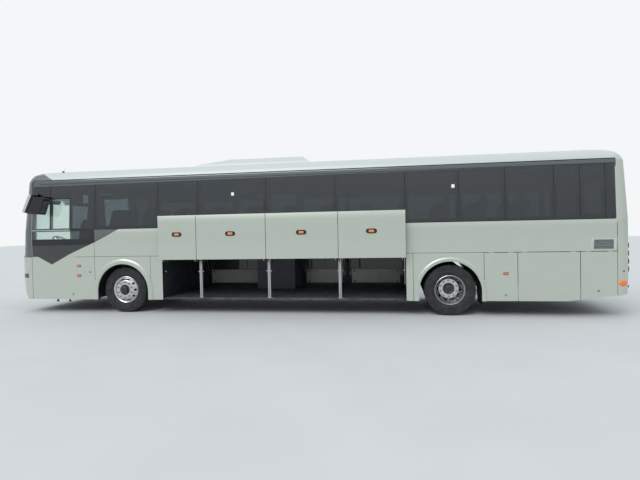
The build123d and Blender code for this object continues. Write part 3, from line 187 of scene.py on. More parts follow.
def turned(bm, profile, centre, axis="y", finish=0, steps=64, closed=True):
    """A lathe part. The profile's points are (radius, distance along the axis)."""
    centre = Vector(centre)
    along = {"x": Vector((1, 0, 0)), "y": Vector((0, 1, 0)), "z": Vector((0, 0, 1))}[axis]
    out = Vector((0, 0, 1)) if axis != "z" else Vector((1, 0, 0))
    points = [bm.verts.new(centre + out * r + along * t) for r, t in profile]
    ends = list(zip(points, points[1:])) + ([(points[-1], points[0])] if closed else [])
    edges = [bm.edges.new(pair) for pair in ends]
    before = set(bm.faces)
    bmesh.ops.spin(bm, geom=points + edges, cent=centre, axis=along, angle=math.tau, steps=steps,
                   use_merge=True)
    vertices = list({v for f in bm.faces if f not in before for v in f.verts})
    bmesh.ops.remove_doubles(bm, verts=vertices, dist=SAME_PLACE)
    for face in [f for f in bm.faces if f not in before]:
        face.material_index = finish


def square_ring(r0, r1, t0, t1):
    """The section of a flat ring between two radii and two distances along its axis, for turned()."""
    return [(r0, t0), (r1, t0), (r1, t1), (r0, t1)]


def plate(bm, outline, depth, finish=0, round_by=0.0):
    """A flat outline of points, made thick along the vector depth."""
    face = bm.faces.new([bm.verts.new(Vector(p)) for p in outline])
    pushed = bmesh.ops.extrude_face_region(bm, geom=[face])
    top = [g for g in pushed["geom"] if isinstance(g, bmesh.types.BMVert)]
    bmesh.ops.translate(bm, verts=top, vec=Vector(depth))
    vertices = list(face.verts) + top
    tint(vertices, finish)
    if round_by:
        edges = list({e for v in vertices for e in v.link_edges})
        bmesh.ops.bevel(bm, geom=edges, offset=round_by, segments=2, profile=0.5, affect="EDGES",
                        material=-1)


def rounded(u0, u1, v0, v1, radius, steps=5):
    """The corners of a rounded rectangle as (u, v) points."""
    centres = [(u1 - radius, v1 - radius), (u0 + radius, v1 - radius), (u0 + radius, v0 + radius),
               (u1 - radius, v0 + radius)]
    return [(cu + radius * math.cos(math.radians(90 * (k + s / steps))),
             cv + radius * math.sin(math.radians(90 * (k + s / steps))))
            for k, (cu, cv) in enumerate(centres) for s in range(steps + 1)]


def rod(bm, points, radius, finish=0, sides=8, smooth=True):
    """A bent tube or strip through a few points, swept by a curve."""
    curve = bpy.data.curves.new("route", "CURVE")
    curve.dimensions = "3D"
    curve.bevel_depth = radius
    curve.bevel_resolution = max(0, sides // 4 - 1)
    curve.use_fill_caps = True
    line = curve.splines.new("NURBS" if smooth else "POLY")
    line.points.add(len(points) - 1)
    for slot, point in zip(line.points, points):
        slot.co = (*point, 1.0)
    if smooth:
        line.order_u = 3
        line.use_endpoint_u = True
        line.resolution_u = 4
    carrier = bpy.data.objects.new("route", curve)
    swept = bpy.data.meshes.new_from_object(carrier)
    before = set(bm.faces)
    bm.from_mesh(swept)
    for face in [f for f in bm.faces if f not in before]:
        face.material_index = finish
        face.smooth = True
    bpy.data.objects.remove(carrier)
    bpy.data.curves.remove(curve)
    bpy.data.meshes.remove(swept)


def mirrored_too(bm):
    """Adds the same shapes on the other side of the coach."""
    geometry = bm.verts[:] + bm.edges[:] + bm.faces[:]
    copy = bmesh.ops.duplicate(bm, geom=geometry)["geom"]
    vertices = [g for g in copy if isinstance(g, bmesh.types.BMVert)]
    faces = [g for g in copy if isinstance(g, bmesh.types.BMFace)]
    bmesh.ops.scale(bm, vec=(1, -1, 1), verts=vertices)
    bmesh.ops.reverse_faces(bm, faces=faces)


def make(name, bm, body, *finishes, smooth=35.0, stands_for=(), slot=None):
    """Turns a bmesh into a finished piece that rides on a body."""
    bmesh.ops.recalc_face_normals(bm, faces=bm.faces)
    mesh = bpy.data.meshes.new(name)
    bm.to_mesh(mesh)
    bm.free()
    for finish in finishes:
        mesh.materials.append(finish)
    mesh.shade_smooth()
    mesh.set_sharp_from_angle(angle=math.radians(smooth))
    piece = bpy.data.objects.new(name, mesh)
    bpy.context.scene.collection.objects.link(piece)
    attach(piece, body)
    if stands_for:
        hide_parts(*stands_for)
    return piece


# %% [markdown]
# ## The lines of the body
# Everything that is added sits on the same skin, so the skin's lines are measured once from the solids:
# the side's plane, the waist where glass begins, and the lean of the glass towards the roof.

# %% Measure the body
SKIN = -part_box("skirt_left")[0].y
FLAP_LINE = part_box("skirt_left")[1].z
ROOF_TOP = 3.235
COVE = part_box("roof")[0].z
WAIST = 1.864
GLASS_TOP = 2.900
LEAN_TOP = 2.960
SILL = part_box("skirt_left")[0].z
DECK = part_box("cabin_floor")[1].z
MASK_X = -6.050

# columns: height, half the body's width there
SECTION = [(SILL, SKIN), (WAIST, SKIN), (LEAN_TOP, SKIN - 0.068), (3.050, SKIN - 0.095),
           (3.120, SKIN - 0.145), (3.170, SKIN - 0.235), (3.200, SKIN - 0.375), (ROOF_TOP, SKIN - 0.975)]


def skin_at(z):
    """Half the body's width at a height."""
    for (z0, w0), (z1, w1) in zip(SECTION, SECTION[1:]):
        if z <= z1:
            return w0 + (w1 - w0) * max(0.0, z - z0) / (z1 - z0)
    return SECTION[-1][1]


GLASS_LEAN = (skin_at(LEAN_TOP) - SKIN) / (LEAN_TOP - WAIST)
front_low, front_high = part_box("wheel_front_left")
rear_low, rear_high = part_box("wheel_rear_left")
FRONT_AXLE = (front_low.x + front_high.x) / 2
REAR_AXLE = (rear_low.x + rear_high.x) / 2
TYRE_R = (front_high.z - front_low.z) / 2
print("wheelbase", round(REAR_AXLE - FRONT_AXLE, 3), "tyre radius", round(TYRE_R, 3))

# %% [markdown]
# ## Camera and light
# The picture was taken by hand with a wide phone lens from the driver's side, level with the hatches.
# The studio keeps that view. Its light is an overcast sky: a broad pale dome that is brighter above,
# with one large soft sun, so that paint shows long gentle gradients and no hard spots.

# %% Place the camera
CAMERA_PLACE = Vector((2.208, -10.990, 1.763))
TURN_LEFT, TILT_DOWN, ROLL = 9.388, 1.286, -1.129
LENS_MM = 27.02
camera = bpy.data.objects.new("camera", bpy.data.cameras.new("camera"))
bpy.context.scene.collection.objects.link(camera)
camera.data.lens = LENS_MM
camera.data.sensor_width = 36.0
camera.data.clip_end = 300.0
camera.matrix_world = (
    Matrix.Translation(CAMERA_PLACE) @ Matrix.Rotation(math.radians(TURN_LEFT), 4, "Z")
    @ Matrix.Rotation(math.radians(90 - TILT_DOWN), 4, "X") @ Matrix.Rotation(math.radians(ROLL), 4, "Z"))
bpy.context.scene.camera = camera

# %% Light the studio
SKY_STRENGTH, SUN_STRENGTH = 1.06, 1.2
SUN_SPREAD, SUN_TILT, SUN_TURN = math.radians(35), math.radians(48), math.radians(-25)
world = bpy.data.worlds.new("overcast dome")
bpy.context.scene.world = world
world.use_nodes = True
sky = world.node_tree
path = add(sky, "ShaderNodeLightPath")
seen = nested(sky, "MAXIMUM", path.outputs["Is Camera Ray"], path.outputs["Is Transmission Ray"])
upward = add(sky, "ShaderNodeSeparateXYZ", {"Vector": add(sky, "ShaderNodeTexCoord").outputs["Generated"]})
dome = add(sky, "ShaderNodeValToRGB", {"Fac": add(sky, "ShaderNodeMapRange", {
    "Value": upward.outputs["Z"], "From Min": -0.4, "From Max": 1.0}).outputs["Result"]})
dome.color_ramp.elements[0].color = linear("#8e9092")
dome.color_ramp.elements[1].color = linear("#f4f7fb")
dome.color_ramp.elements.new(0.29).color = linear("#a7abae")
dome.color_ramp.elements.new(0.45).color = linear("#d3d8dd")
backdrop = layered(sky, seen, dome.outputs["Color"], linear("#eef0f1"))
sky.nodes["Background"].inputs["Strength"].default_value = SKY_STRENGTH
sky.links.new(backdrop, sky.nodes["Background"].inputs["Color"])

sun = bpy.data.objects.new("soft sun", bpy.data.lights.new("soft sun", "SUN"))
bpy.context.scene.collection.objects.link(sun)
sun.data.energy = SUN_STRENGTH
sun.data.angle = SUN_SPREAD
sun.rotation_euler = (SUN_TILT, 0, SUN_TURN)
bpy.context.scene.view_settings.view_transform = "Standard"
print("sky at", SKY_STRENGTH, "and sun at", SUN_STRENGTH)

# %% Lay the floor
FLOOR_HALF = 60
# Nearly even and matt, so that only the coach's own shadow shows on it
floor_finish, tree, shader = finish_named("pale studio floor", "#cacdce", roughness=0.75)
vary_colour(tree, shader, "#c9cccd", "#cccfd0", 1400)
bm = bmesh.new()
bmesh.ops.create_grid(bm, x_segments=1, y_segments=1, size=FLOOR_HALF)
floor_mesh = bpy.data.meshes.new("floor")
bm.to_mesh(floor_mesh)
bm.free()
floor_mesh.materials.append(floor_finish)
floor = bpy.data.objects.new("floor", floor_mesh)
bpy.context.scene.collection.objects.link(floor)
print("floor laid,", 2 * FLOOR_HALF, "m wide")

# %% [markdown]
# ## Body paint
# The coach wears a pale champagne-grey metallic: aluminium flakes in a tinted base under clear lacquer.
# Flakes make the face bright and the edges darker, and lacquer adds a second, sharper reflection on top.
# The flakes themselves are a tenth of a millimetre, too fine to draw, so they are drawn 6 mm wide.

# %% Paints
FLAKE_MM, PRESSING_MM = 6, 260
FLAKES, GLOSS = 0.35, 0.34
# Paint ends this far under the skin, and what lies deeper is lining
PAINT_DEEP = 0.004


def metallic_paint(name, light, dark, metallic=FLAKES, roughness=GLOSS):
    """Lacquered metallic paint on sheet that is very slightly wavy, as pressed panels are."""
    material, tree, shader = finish_named(
        name, light, metallic, roughness, Coat_Weight=0.8, Coat_Roughness=0.04)
    vary_colour(tree, shader, dark, light, FLAKE_MM, sharpness=0.2, detail=1.0)
    bump(tree, shader, noise(tree, PRESSING_MM, detail=1.0).outputs["Fac"], 1.2, strength=0.25)
    return material, tree, shader


def crown(tree, shader, low, high, drop_mm):
    """Lets the paint roll inwards between two heights, so that the edge mirrors the bright sky above."""
    height = add(tree, "ShaderNodeSeparateXYZ", {"Vector": surface_point(tree)})
    rise = add(tree, "ShaderNodeMapRange", {
        "Value": height.outputs["Z"], "From Min": low, "From Max": high}).outputs["Result"]
    relief = add(tree, "ShaderNodeBump", {
        "Height": nested(tree, "MULTIPLY", rise, rise), "Distance": drop_mm / 1000, "Strength": 1.0,
        "Normal": shader.inputs["Normal"].links[0].from_socket}, invert=True)
    tree.links.new(relief.outputs["Normal"], shader.inputs["Normal"])
    tree.links.new(relief.outputs["Normal"], shader.inputs["Coat Normal"])


def panel_finish(name, skin, crowned=None):
    """Paint on an upright panel whose outer face lies at skin, and a dark lining behind it."""
    material, tree, shader = metallic_paint(name, *CHAMPAGNE)
    place = add(tree, "ShaderNodeSeparateXYZ", {"Vector": surface_point(tree)})
    hidden = nested(tree, "LESS_THAN", nested(tree, "ABSOLUTE", place.outputs["Y"]), skin - PAINT_DEEP)
    painted = shader.inputs["Base Color"].links[0].from_socket
    tree.links.new(layered(tree, hidden, painted, linear("#26292a")), shader.inputs["Base Color"])
    if crowned:
        crown(tree, shader, *crowned)
    return material


CHAMPAGNE = ("#c0c7bc", "#b6bfb3")
HATCH_CROWN = (1.960, 2.112, 16)
WALL_CROWN = (1.740, 1.866, 14)
body_paint = metallic_paint("champagne grey metallic paint", *CHAMPAGNE)[0]
# A hatch's box ends 6 mm past its face, at the marker lamp's seat
LAMP_SEAT = 0.006
OPEN_SKIN = -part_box("hatch_left_1")[0].y - LAMP_SEAT
open_hatch_paint = panel_finish("champagne grey paint on an opened hatch", OPEN_SKIN, crowned=HATCH_CROWN)
flap_paint = panel_finish("champagne grey paint on a closed flap", SKIN)
# The roof is weathered: a duller clear coat spreads the sky's light and gives no bright patch
roof_paint, tree, shader = metallic_paint("pale silver metallic paint", "#c6cdca", "#bcc4c1", 0.12, 0.5)
shader.inputs["Coat Roughness"].default_value = 0.3
# The hood over the windscreen is a duller grey, like the band above the side windows
hood_paint, tree, shader = metallic_paint("mid grey paint", "#5b6163", "#54595b", 0.2, 0.32)
shader.inputs["Coat Roughness"].default_value = 0.22
# The mask and the black slats of its intake are one solid, so a rectangle on it turns the paint black
mask_paint, tree, shader = metallic_paint("champagne grey front mask", *CHAMPAGNE)
INTAKE_HALF, INTAKE_Z = 0.522, (0.388, 0.592)
place = add(tree, "ShaderNodeSeparateXYZ", {"Vector": surface_point(tree)})
outside = nested(tree, "MAXIMUM", beyond(tree, place.outputs["Y"], -INTAKE_HALF, INTAKE_HALF),
                 beyond(tree, place.outputs["Z"], *INTAKE_Z))
painted = shader.inputs["Base Color"].links[0].from_socket
slatted = layered(tree, nested(tree, "LESS_THAN", outside), painted, linear("#1d1f20"))
tree.links.new(slatted, shader.inputs["Base Color"])
# Frame paint, dulled by road dust in patches of two hands' width
chassis_paint, tree, shader = finish_named("black chassis paint", "#232425", roughness=0.6)
vary_colour(tree, shader, "#1b1c1d", "#2f302f", 180)
vary_roughness(tree, shader, 0.45, 0.75, 60)
print("seven paints mixed")

# %% [markdown]
# ## Glass and what lies behind it
# The side windows are bonded flush to the frame. The outer rim of each pane is printed black, and the
# glass is tinted, so a row of panes reads as one dark band. A transmitting shader keeps the far side
# faintly visible, as the driver's window shows.

# %% Glass
CLEAR_UNTIL_X = -5.075
CLEAR_Z = (1.655, 2.565)
TINT = "#59646a"


def side_glass_finish():
    """Dark tinted glass, with clear greenish panes beside the driver."""
    material, tree, shader = finish_named(
        "tinted bonded glass", TINT, roughness=0.02, Transmission_Weight=0.93, IOR=1.5,
        Specular_IOR_Level=1.0, Coat_Weight=1.0, Coat_Roughness=0.02)
    place = add(tree, "ShaderNodeSeparateXYZ", {"Vector": surface_point(tree)})
    ahead = nested(tree, "LESS_THAN", place.outputs["X"], CLEAR_UNTIL_X)
    level = nested(tree, "LESS_THAN", beyond(tree, place.outputs["Z"], *CLEAR_Z))
    tone = layered(tree, nested(tree, "MULTIPLY", ahead, level), linear(TINT), linear("#e3f2ec"))
    tree.links.new(tone, shader.inputs["Base Color"])
    return material


tinted_glass = side_glass_finish()
# Laminated and hardly tinted, so the cab can be seen
clear_glass = finish_named(
    "clear windscreen glass", "#dfeae6", roughness=0.01, Transmission_Weight=1.0, IOR=1.5)[0]
print("clear panes end at x", CLEAR_UNTIL_X)

# %% [markdown]
# ## Walls that are three things at once
# A side wall is one solid, though on the real coach it is painted sheet, a black printed frame behind
# the glass and a cabin lining. Cutting it in three would break its joints, so one material looks at how
# deep a point lies under the leaning skin and gives it the finish of that layer.

# %% Walls with paint outside, a black glass frame and a pale lining inside
CANTRAIL_FROM = 2.835
PRINT_DEEP = 0.030


def skin_depth(tree):
    """How far a point lies inside the side's leaning skin."""
    place = add(tree, "ShaderNodeSeparateXYZ", {"Vector": surface_point(tree)})
    above = nested(tree, "MAXIMUM", nested(tree, "SUBTRACT", place.outputs["Z"], WAIST))
    skin = nested(tree, "ADD", nested(tree, "MULTIPLY", above, GLASS_LEAN), SKIN)
    return place, nested(tree, "SUBTRACT", skin, nested(tree, "ABSOLUTE", place.outputs["Y"]))


def dull_below(tree, shader, hidden, dull=0.64):
    """Takes the paint's flakes and shine away where hidden is 1."""
    flakes = nested(tree, "MULTIPLY", nested(tree, "SUBTRACT", 1.0, hidden), FLAKES)
    tree.links.new(flakes, shader.inputs["Metallic"])
    rough = nested(tree, "ADD", nested(tree, "MULTIPLY", hidden, dull - GLOSS), GLOSS)
    tree.links.new(rough, shader.inputs["Roughness"])


def wall_finish(name, lining):
    """Paint on the skin, black under it for the printed glass rim, then the cabin's lining."""
    material, tree, shader = metallic_paint(name, *CHAMPAGNE)
    place, depth = skin_depth(tree)
    painted = shader.inputs["Base Color"].links[0].from_socket
    high = nested(tree, "GREATER_THAN", place.outputs["Z"], CANTRAIL_FROM)
    painted = layered(tree, high, painted, linear("#596164"))
    under_paint = nested(tree, "GREATER_THAN", depth, PAINT_DEEP)
    framed = layered(tree, under_paint, painted, linear("#0d0e0f"))
    lined = layered(tree, nested(tree, "GREATER_THAN", depth, PRINT_DEEP), framed, linear(lining))
    tree.links.new(lined, shader.inputs["Base Color"])
    dull_below(tree, shader, under_paint)
    crown(tree, shader, *WALL_CROWN)
    return material


wall_paint = wall_finish("wall paint and lining", "#7c7f80")

# %% [markdown]
# ## Door leaves
# A coach door is a frame with a pane bonded over nearly all of it, and a black print hides the glue.
# Leaf and pane are one solid here. Their border is a plain rectangle, so the distance from it is enough
# to tell glass, print and paint apart, without a second mesh that could flicker against the first.

# %% Door leaves, painted round a bonded pane
PANE_IN, PANE_FOOT, PANE_HEAD = 0.110, 1.040, 2.720
# The black print reaches this far outside and inside the pane's border
PRINT_OUT, PRINT_IN = 0.026, -0.022


def door_finish(name, x0, x1, pane_tone):
    """A leaf and its pane in one material: glass, black print, paint and lining, told apart by place."""
    material, tree, shader = metallic_paint(name, *CHAMPAGNE)
    place, depth = skin_depth(tree)
    outside = nested(tree, "MAXIMUM", beyond(tree, place.outputs["X"], x0 + PANE_IN, x1 - PANE_IN),
                     beyond(tree, place.outputs["Z"], PANE_FOOT, PANE_HEAD))
    printed = nested(tree, "LESS_THAN", outside, PRINT_OUT)
    pane = nested(tree, "LESS_THAN", outside, PRINT_IN)
    hidden = nested(tree, "GREATER_THAN", depth, PAINT_DEEP)
    painted = shader.inputs["Base Color"].links[0].from_socket
    tone = layered(tree, hidden, painted, linear("#4a4e50"))
    tone = layered(tree, printed, tone, linear("#101112"))
    tone = layered(tree, pane, tone, linear(pane_tone))
    tree.links.new(tone, shader.inputs["Base Color"])
    dull_below(tree, shader, nested(tree, "MAXIMUM", hidden, printed), dull=0.2)
    rough = shader.inputs["Roughness"].links[0].from_socket
    polished = nested(tree, "MULTIPLY", rough, nested(tree, "SUBTRACT", 1.02, pane))
    tree.links.new(polished, shader.inputs["Roughness"])
    tree.links.new(nested(tree, "MULTIPLY", pane, 0.95), shader.inputs["Transmission Weight"])
    return material


front_door_finish = door_finish("front door leaf", -5.990, -5.010, "#dcebe6")
middle_door_finish = door_finish("middle door leaf", -1.195, -0.320, TINT)
print("walls and doors finished")

# %% [markdown]
# ## Plastics, rubber and metals
# Moulded plastic has a fine grain and a soft shine, rubber is darker and nearly matt, and the metals
# differ by how they were made: polished wheels, brushed strips, grey castings.

# %% Plastics and rubber
# Injection moulded, with an etched grain under 1 mm that is drawn 8 mm wide so that it shows
black_plastic, tree, shader = finish_named("grained black plastic", "#1c1d1e", roughness=0.5)
bump(tree, shader, noise(tree, 8, detail=2).outputs["Fac"], 0.3, strength=0.5)
# Polished mould, no grain: it shows sharp reflections
gloss_black = finish_named("gloss black trim", "#111213", roughness=0.12, Coat_Weight=0.5)[0]
# Extruded rubber is nearly matt and is a little shinier where it is wiped
rubber, tree, shader = finish_named("black rubber seal", "#141415", roughness=0.72)
vary_roughness(tree, shader, 0.62, 0.82, 30)

# %% Metals
# Forged, turned and polished: a clear mirror with faint wiping marks
alloy, tree, shader = finish_named("polished wheel alloy", "#cfd1d2", 1.0, 0.22)
vary_roughness(tree, shader, 0.16, 0.30, 45)
# Zinc plating is bright but cloudy
steel, tree, shader = finish_named("zinc plated steel", "#a9abad", 1.0, 0.38)
vary_roughness(tree, shader, 0.3, 0.48, 25)
# Sand leaves castings pitted: grit of 1 mm, drawn 12 mm wide
casting, tree, shader = finish_named("dark grey casting", "#3a3b3b", 0.3, 0.62)
bump(tree, shader, noise(tree, 12, detail=4).outputs["Fac"], 0.8, strength=0.6)
# Vacuum coated, so nearly a mirror
chrome = finish_named("bright reflector", "#e2e4e6", 1.0, 0.08)[0]
# Oily dust lies on the engine in patches of a hand's width
engine_finish, tree, shader = finish_named("engine castings", "#55585a", 0.6, 0.5)
vary_colour(tree, shader, "#43474a", "#6a6d6d", 120)

# %% Lenses
# Moulded acrylic. A little light comes through, so the coloured ones glow faintly in daylight.
amber, tree, shader = finish_named(
    "amber lens", "#f09a50", roughness=0.15, Transmission_Weight=0.2, Emission_Strength=0.08)
shader.inputs["Emission Color"].default_value = linear("#ff8a30")
red_lens = finish_named("red lens", "#c0141a", roughness=0.12, Transmission_Weight=0.3)[0]
clear_lens = finish_named("clear lens", "#eef2f2", roughness=0.03, Transmission_Weight=0.95, IOR=1.49)[0]

# %% Mirror housings with a painted cap
# columns: side, where along X the outline starts, its scale along X
MIRRORS = [(-1, MASK_X, 1.0), (1, -6.496, 0.8)]
# The cap's rear edge, from the outline's start, and how far it leans back for each metre of height
CAP_EDGE, CAP_LEAN = 0.092, 0.4848
CAP_FROM_Z, CAP_TO_Z = 2.270, 2.652
# Black grained plastic with a lacquered cap. The grain is drawn 7 mm wide.
mirror_shell, tree, shader = finish_named("grained mirror housing", "#17181a", roughness=0.42)
bump(tree, shader, noise(tree, 7, detail=2).outputs["Fac"], 0.2, strength=0.4)
place = add(tree, "ShaderNodeSeparateXYZ", {"Vector": surface_point(tree)})
near_side = nested(tree, "LESS_THAN", place.outputs["Y"], 0.0)
(_, near_x, near_scale), (_, far_x, far_scale) = MIRRORS
start = nested(tree, "ADD", nested(tree, "MULTIPLY", near_side, near_x - far_x), far_x)
size = nested(tree, "ADD", nested(tree, "MULTIPLY", near_side, near_scale - far_scale), far_scale)
rise = nested(tree, "MULTIPLY", nested(tree, "SUBTRACT", place.outputs["Z"], CAP_FROM_Z), CAP_LEAN)
edge = nested(tree, "ADD", start, nested(tree, "MULTIPLY", size, nested(tree, "ADD", rise, CAP_EDGE)))
cap = nested(tree, "MULTIPLY", nested(tree, "LESS_THAN", place.outputs["X"], edge),
             nested(tree, "LESS_THAN", place.outputs["Z"], CAP_TO_Z))
tree.links.new(layered(tree, cap, linear("#17181a"), linear("#bcc2bd")), shader.inputs["Base Color"])

# %% Floors
# Vinyl with chips of two greys, some 3 mm wide and drawn 12 mm wide
floor_vinyl, tree, shader = finish_named("speckled vinyl floor", "#4b4e52", roughness=0.55)
vary_colour(tree, shader, "#3f4246", "#5c6065", 12, sharpness=0.7)
# Painted board, scuffed dull by luggage
hold_finish, tree, shader = finish_named("dark grey hold lining", "#34393c", roughness=0.6)
vary_colour(tree, shader, "#2e3336", "#3c4145", 300)
vary_roughness(tree, shader, 0.5, 0.7, 120)
print(len(bpy.data.materials), "materials so far")

# %% [markdown]
# ## Tyres
# A coach tyre is turned in shape: a bead that grips the rim, a sidewall with fine ribs, and a tread with
# four ring grooves. One pitch of it is spun from its section and then repeated round the wheel. Short
# slots across the tread, about every 50 mm, are sunk under the tread's own outer faces. Those faces stay
# in place, so the ring grooves show and the slots don't.

# %% One pitch of tread, repeated round the wheel
# columns: radius, distance from the tyre's middle plane, from the bead to the tread's centre
TYRE_SECTION = [
    (0.284, 0.106), (0.291, 0.118), (0.297, 0.1205), (0.303, 0.1235), (0.309, 0.1235), (0.312, 0.126),
    (0.330, 0.1385), (0.352, 0.1435), (0.356, 0.1448), (0.360, 0.1436), (0.386, 0.1445), (0.410, 0.1425),
    (0.413, 0.1440), (0.418, 0.1438), (0.421, 0.1412), (0.446, 0.1385), (0.449, 0.1400), (0.453, 0.1395),
    (0.456, 0.1368), (0.476, 0.1345), (0.488, 0.131), (0.497, 0.124), (0.5015, 0.112), (0.5030, 0.088),
    (0.4890, 0.085), (0.4890, 0.077), (0.5035, 0.074), (0.5050, 0.036), (0.4895, 0.033), (0.4895, 0.025),
    (0.5050, 0.022)]
PITCHES = 62
SLOT_SHARE = 0.14
# columns: across the tread from, to, least radius, how far the slot is sunk, as a scale
TREAD_SLOTS = [(0.086, 0.126, 0.4965, 0.974), (0.040, 0.073, 0.5, 0.988), (-0.02, 0.02, 0.5, 0.988)]


def tyre(bm, x, y):
    """A tyre whose middle plane is at y, with slots sunk under the tread's outer faces, which stay."""
    centre = Vector((x, y, TYRE_R))
    section = [(r, -t) for r, t in TYRE_SECTION] + [(r, t) for r, t in reversed(TYRE_SECTION)]
    points = [bm.verts.new(centre + Vector((0, t, r))) for r, t in section]
    ring = points + [bm.edges.new(pair) for pair in zip(points, points[1:])]
    pitch = math.tau / PITCHES
    lug = bmesh.ops.spin(bm, geom=ring, cent=centre, axis=(0, 1, 0), angle=pitch * (1 - SLOT_SHARE),
                         steps=2)
    before = set(bm.faces)
    bmesh.ops.spin(bm, geom=lug["geom_last"], cent=centre, axis=(0, 1, 0), angle=pitch * SLOT_SHARE,
                   steps=1)
    for inner, outer, low, depth in TREAD_SLOTS:
        slot = []
        for face in bm.faces:
            middle = face.calc_center_median() - centre
            across = abs(middle.y) if inner > 0 else middle.y
            if face not in before and inner < across < outer and math.hypot(middle.x, middle.z) > low:
                slot.append(face)
        sunk = bmesh.ops.extrude_face_region(bm, geom=slot)["geom"]
        bmesh.ops.scale(bm, vec=(depth, 1, depth), space=Matrix.Translation(-centre),
                        verts=[g for g in sunk if isinstance(g, bmesh.types.BMVert)])
    bmesh.ops.spin(bm, geom=bm.verts[:] + bm.edges[:] + bm.faces[:], cent=centre, axis=(0, 1, 0),
                   angle=math.tau - pitch, steps=PITCHES - 1, use_duplicate=True)
    bmesh.ops.remove_doubles(bm, verts=bm.verts, dist=2e-5)


# Matt black rubber greyed by dust. Its skin is finely pitted, drawn 5 mm wide.
tyre_rubber, tree, shader = finish_named("vulcanised tyre rubber", "#26282a", roughness=0.8)
vary_colour(tree, shader, "#212325", "#303233", 90)
vary_roughness(tree, shader, 0.7, 0.9, 40)
bump(tree, shader, noise(tree, 5, detail=2).outputs["Fac"], 0.25, strength=0.4)

FRONT_WHEEL_Y, TWIN_OUTER_Y, TWIN_INNER_Y = 1.040, 1.085, 0.760
# columns: label, body, the axle's X, distances of its tyres from the middle of the coach
WHEELS = [(f"{end}_{side}", f"wheel_{end}_{side}", x, [way * y for y in places])
          for end, x, places in (("front", FRONT_AXLE, [FRONT_WHEEL_Y]),
                                 ("rear", REAR_AXLE, [TWIN_OUTER_Y, TWIN_INNER_Y]))
          for side, way in (("left", -1), ("right", 1))]
for label, body, x, places in WHEELS:
    for k, y in enumerate(places):
        bm = bmesh.new()
        tyre(bm, x, y)
        make(f"tyre_{label}" + ("_inner" if k else ""), bm, body, tyre_rubber, smooth=28,
             slot="tyre_rubber")
print(sum(len(places) for *_, places in WHEELS), "tyres of", PITCHES, "pitches")

# %% [markdown]
# ## Rims, nuts and hubs
# The front rims are forged and polished alloy: a disc that stands outwards, drilled with ten round
# holes. The twin rims behind are dished inwards, so they show a deep bright ring and a disc far inside.
# Each is a section spun round the axle. The holes are cut by a boolean, which keeps their edges crisp.

# %% Rims
# columns: radius, distance outwards from the rim's middle plane
FORGED_RIM = [
    (0.086, 0.148), (0.086, 0.1620), (0.100, 0.1635), (0.198, 0.1635), (0.206, 0.1615), (0.214, 0.155),
    (0.250, 0.113), (0.258, 0.107), (0.266, 0.108), (0.273, 0.114), (0.281, 0.1205), (0.289, 0.1225),
    (0.2935, 0.1200), (0.2925, 0.1165), (0.285, 0.112), (0.283, 0.078), (0.266, 0.052), (0.266, -0.075),
    (0.283, -0.100), (0.2925, -0.1165), (0.2935, -0.120), (0.287, -0.1225), (0.272, -0.106), (0.254, -0.080),
    (0.254, 0.040), (0.246, 0.084), (0.236, 0.103), (0.206, 0.140), (0.197, 0.148)]
HAND_HOLES = 10
HOLE_RING, HOLE_R = 0.2345, 0.0225
NUTS = 10
NUT_RING, NUT_REACH = 0.1675, 0.030
# Where the nuts seat, outwards from the rim's middle plane, and how far the hub stands out from there
FORGED_FACE, FORGED_HUB = 0.1635, 0.042
DISHED_FACE, DISHED_HUB = -0.1480, 0.140


def drilled(bm, holes):
    """The first shape with the second cut out of it."""
    pair = []
    for shape in (bm, holes):
        bmesh.ops.recalc_face_normals(shape, faces=shape.faces)
        mesh = bpy.data.meshes.new("drilling")
        shape.to_mesh(mesh)
        shape.free()
        pair.append(bpy.data.objects.new("drilling", mesh))
        bpy.context.scene.collection.objects.link(pair[-1])
    cut = pair[0].modifiers.new("cut", "BOOLEAN")
    cut.object = pair[1]
    cut.solver = "EXACT"
    bpy.context.view_layer.update()
    seen = pair[0].evaluated_get(bpy.context.evaluated_depsgraph_get())
    result = bmesh.new()
    result.from_mesh(seen.to_mesh())
    for shape in pair:
        bpy.data.objects.remove(shape)
    return result


def rim(x, y, way):
    """A rim whose disc stands towards way along Y."""
    bm = bmesh.new()
    turned(bm, [(r, t * way) for r, t in FORGED_RIM], (x, y, TYRE_R), steps=80)
    holes = bmesh.new()
    for k in range(HAND_HOLES):
        angle = math.tau * k / HAND_HOLES
        u, v = HOLE_RING * math.cos(angle), HOLE_RING * math.sin(angle)
        bar(holes, (x + u, y + 0.06 * way, TYRE_R + v), (x + u, y + 0.20 * way, TYRE_R + v), HOLE_R,
            sides=24)
    return drilled(bm, holes)


def nut_ring(bm, x, y, way):
    """Hexagonal nuts with washers and stud ends, standing out from y."""
    for k in range(NUTS):
        angle = math.tau * (k + 0.5) / NUTS
        u, v = x + NUT_RING * math.cos(angle), TYRE_R + NUT_RING * math.sin(angle)
        washer, nut, stud = [(u, y + out * way, v) for out in (0.004, NUT_REACH, NUT_REACH + 0.008)]
        bar(bm, (u, y, v), washer, 0.0225, 0, 20)
        bar(bm, washer, nut, 0.0175, 0, 6, end_radius=0.0165)
        bar(bm, nut, stud, 0.009, 0, 12)


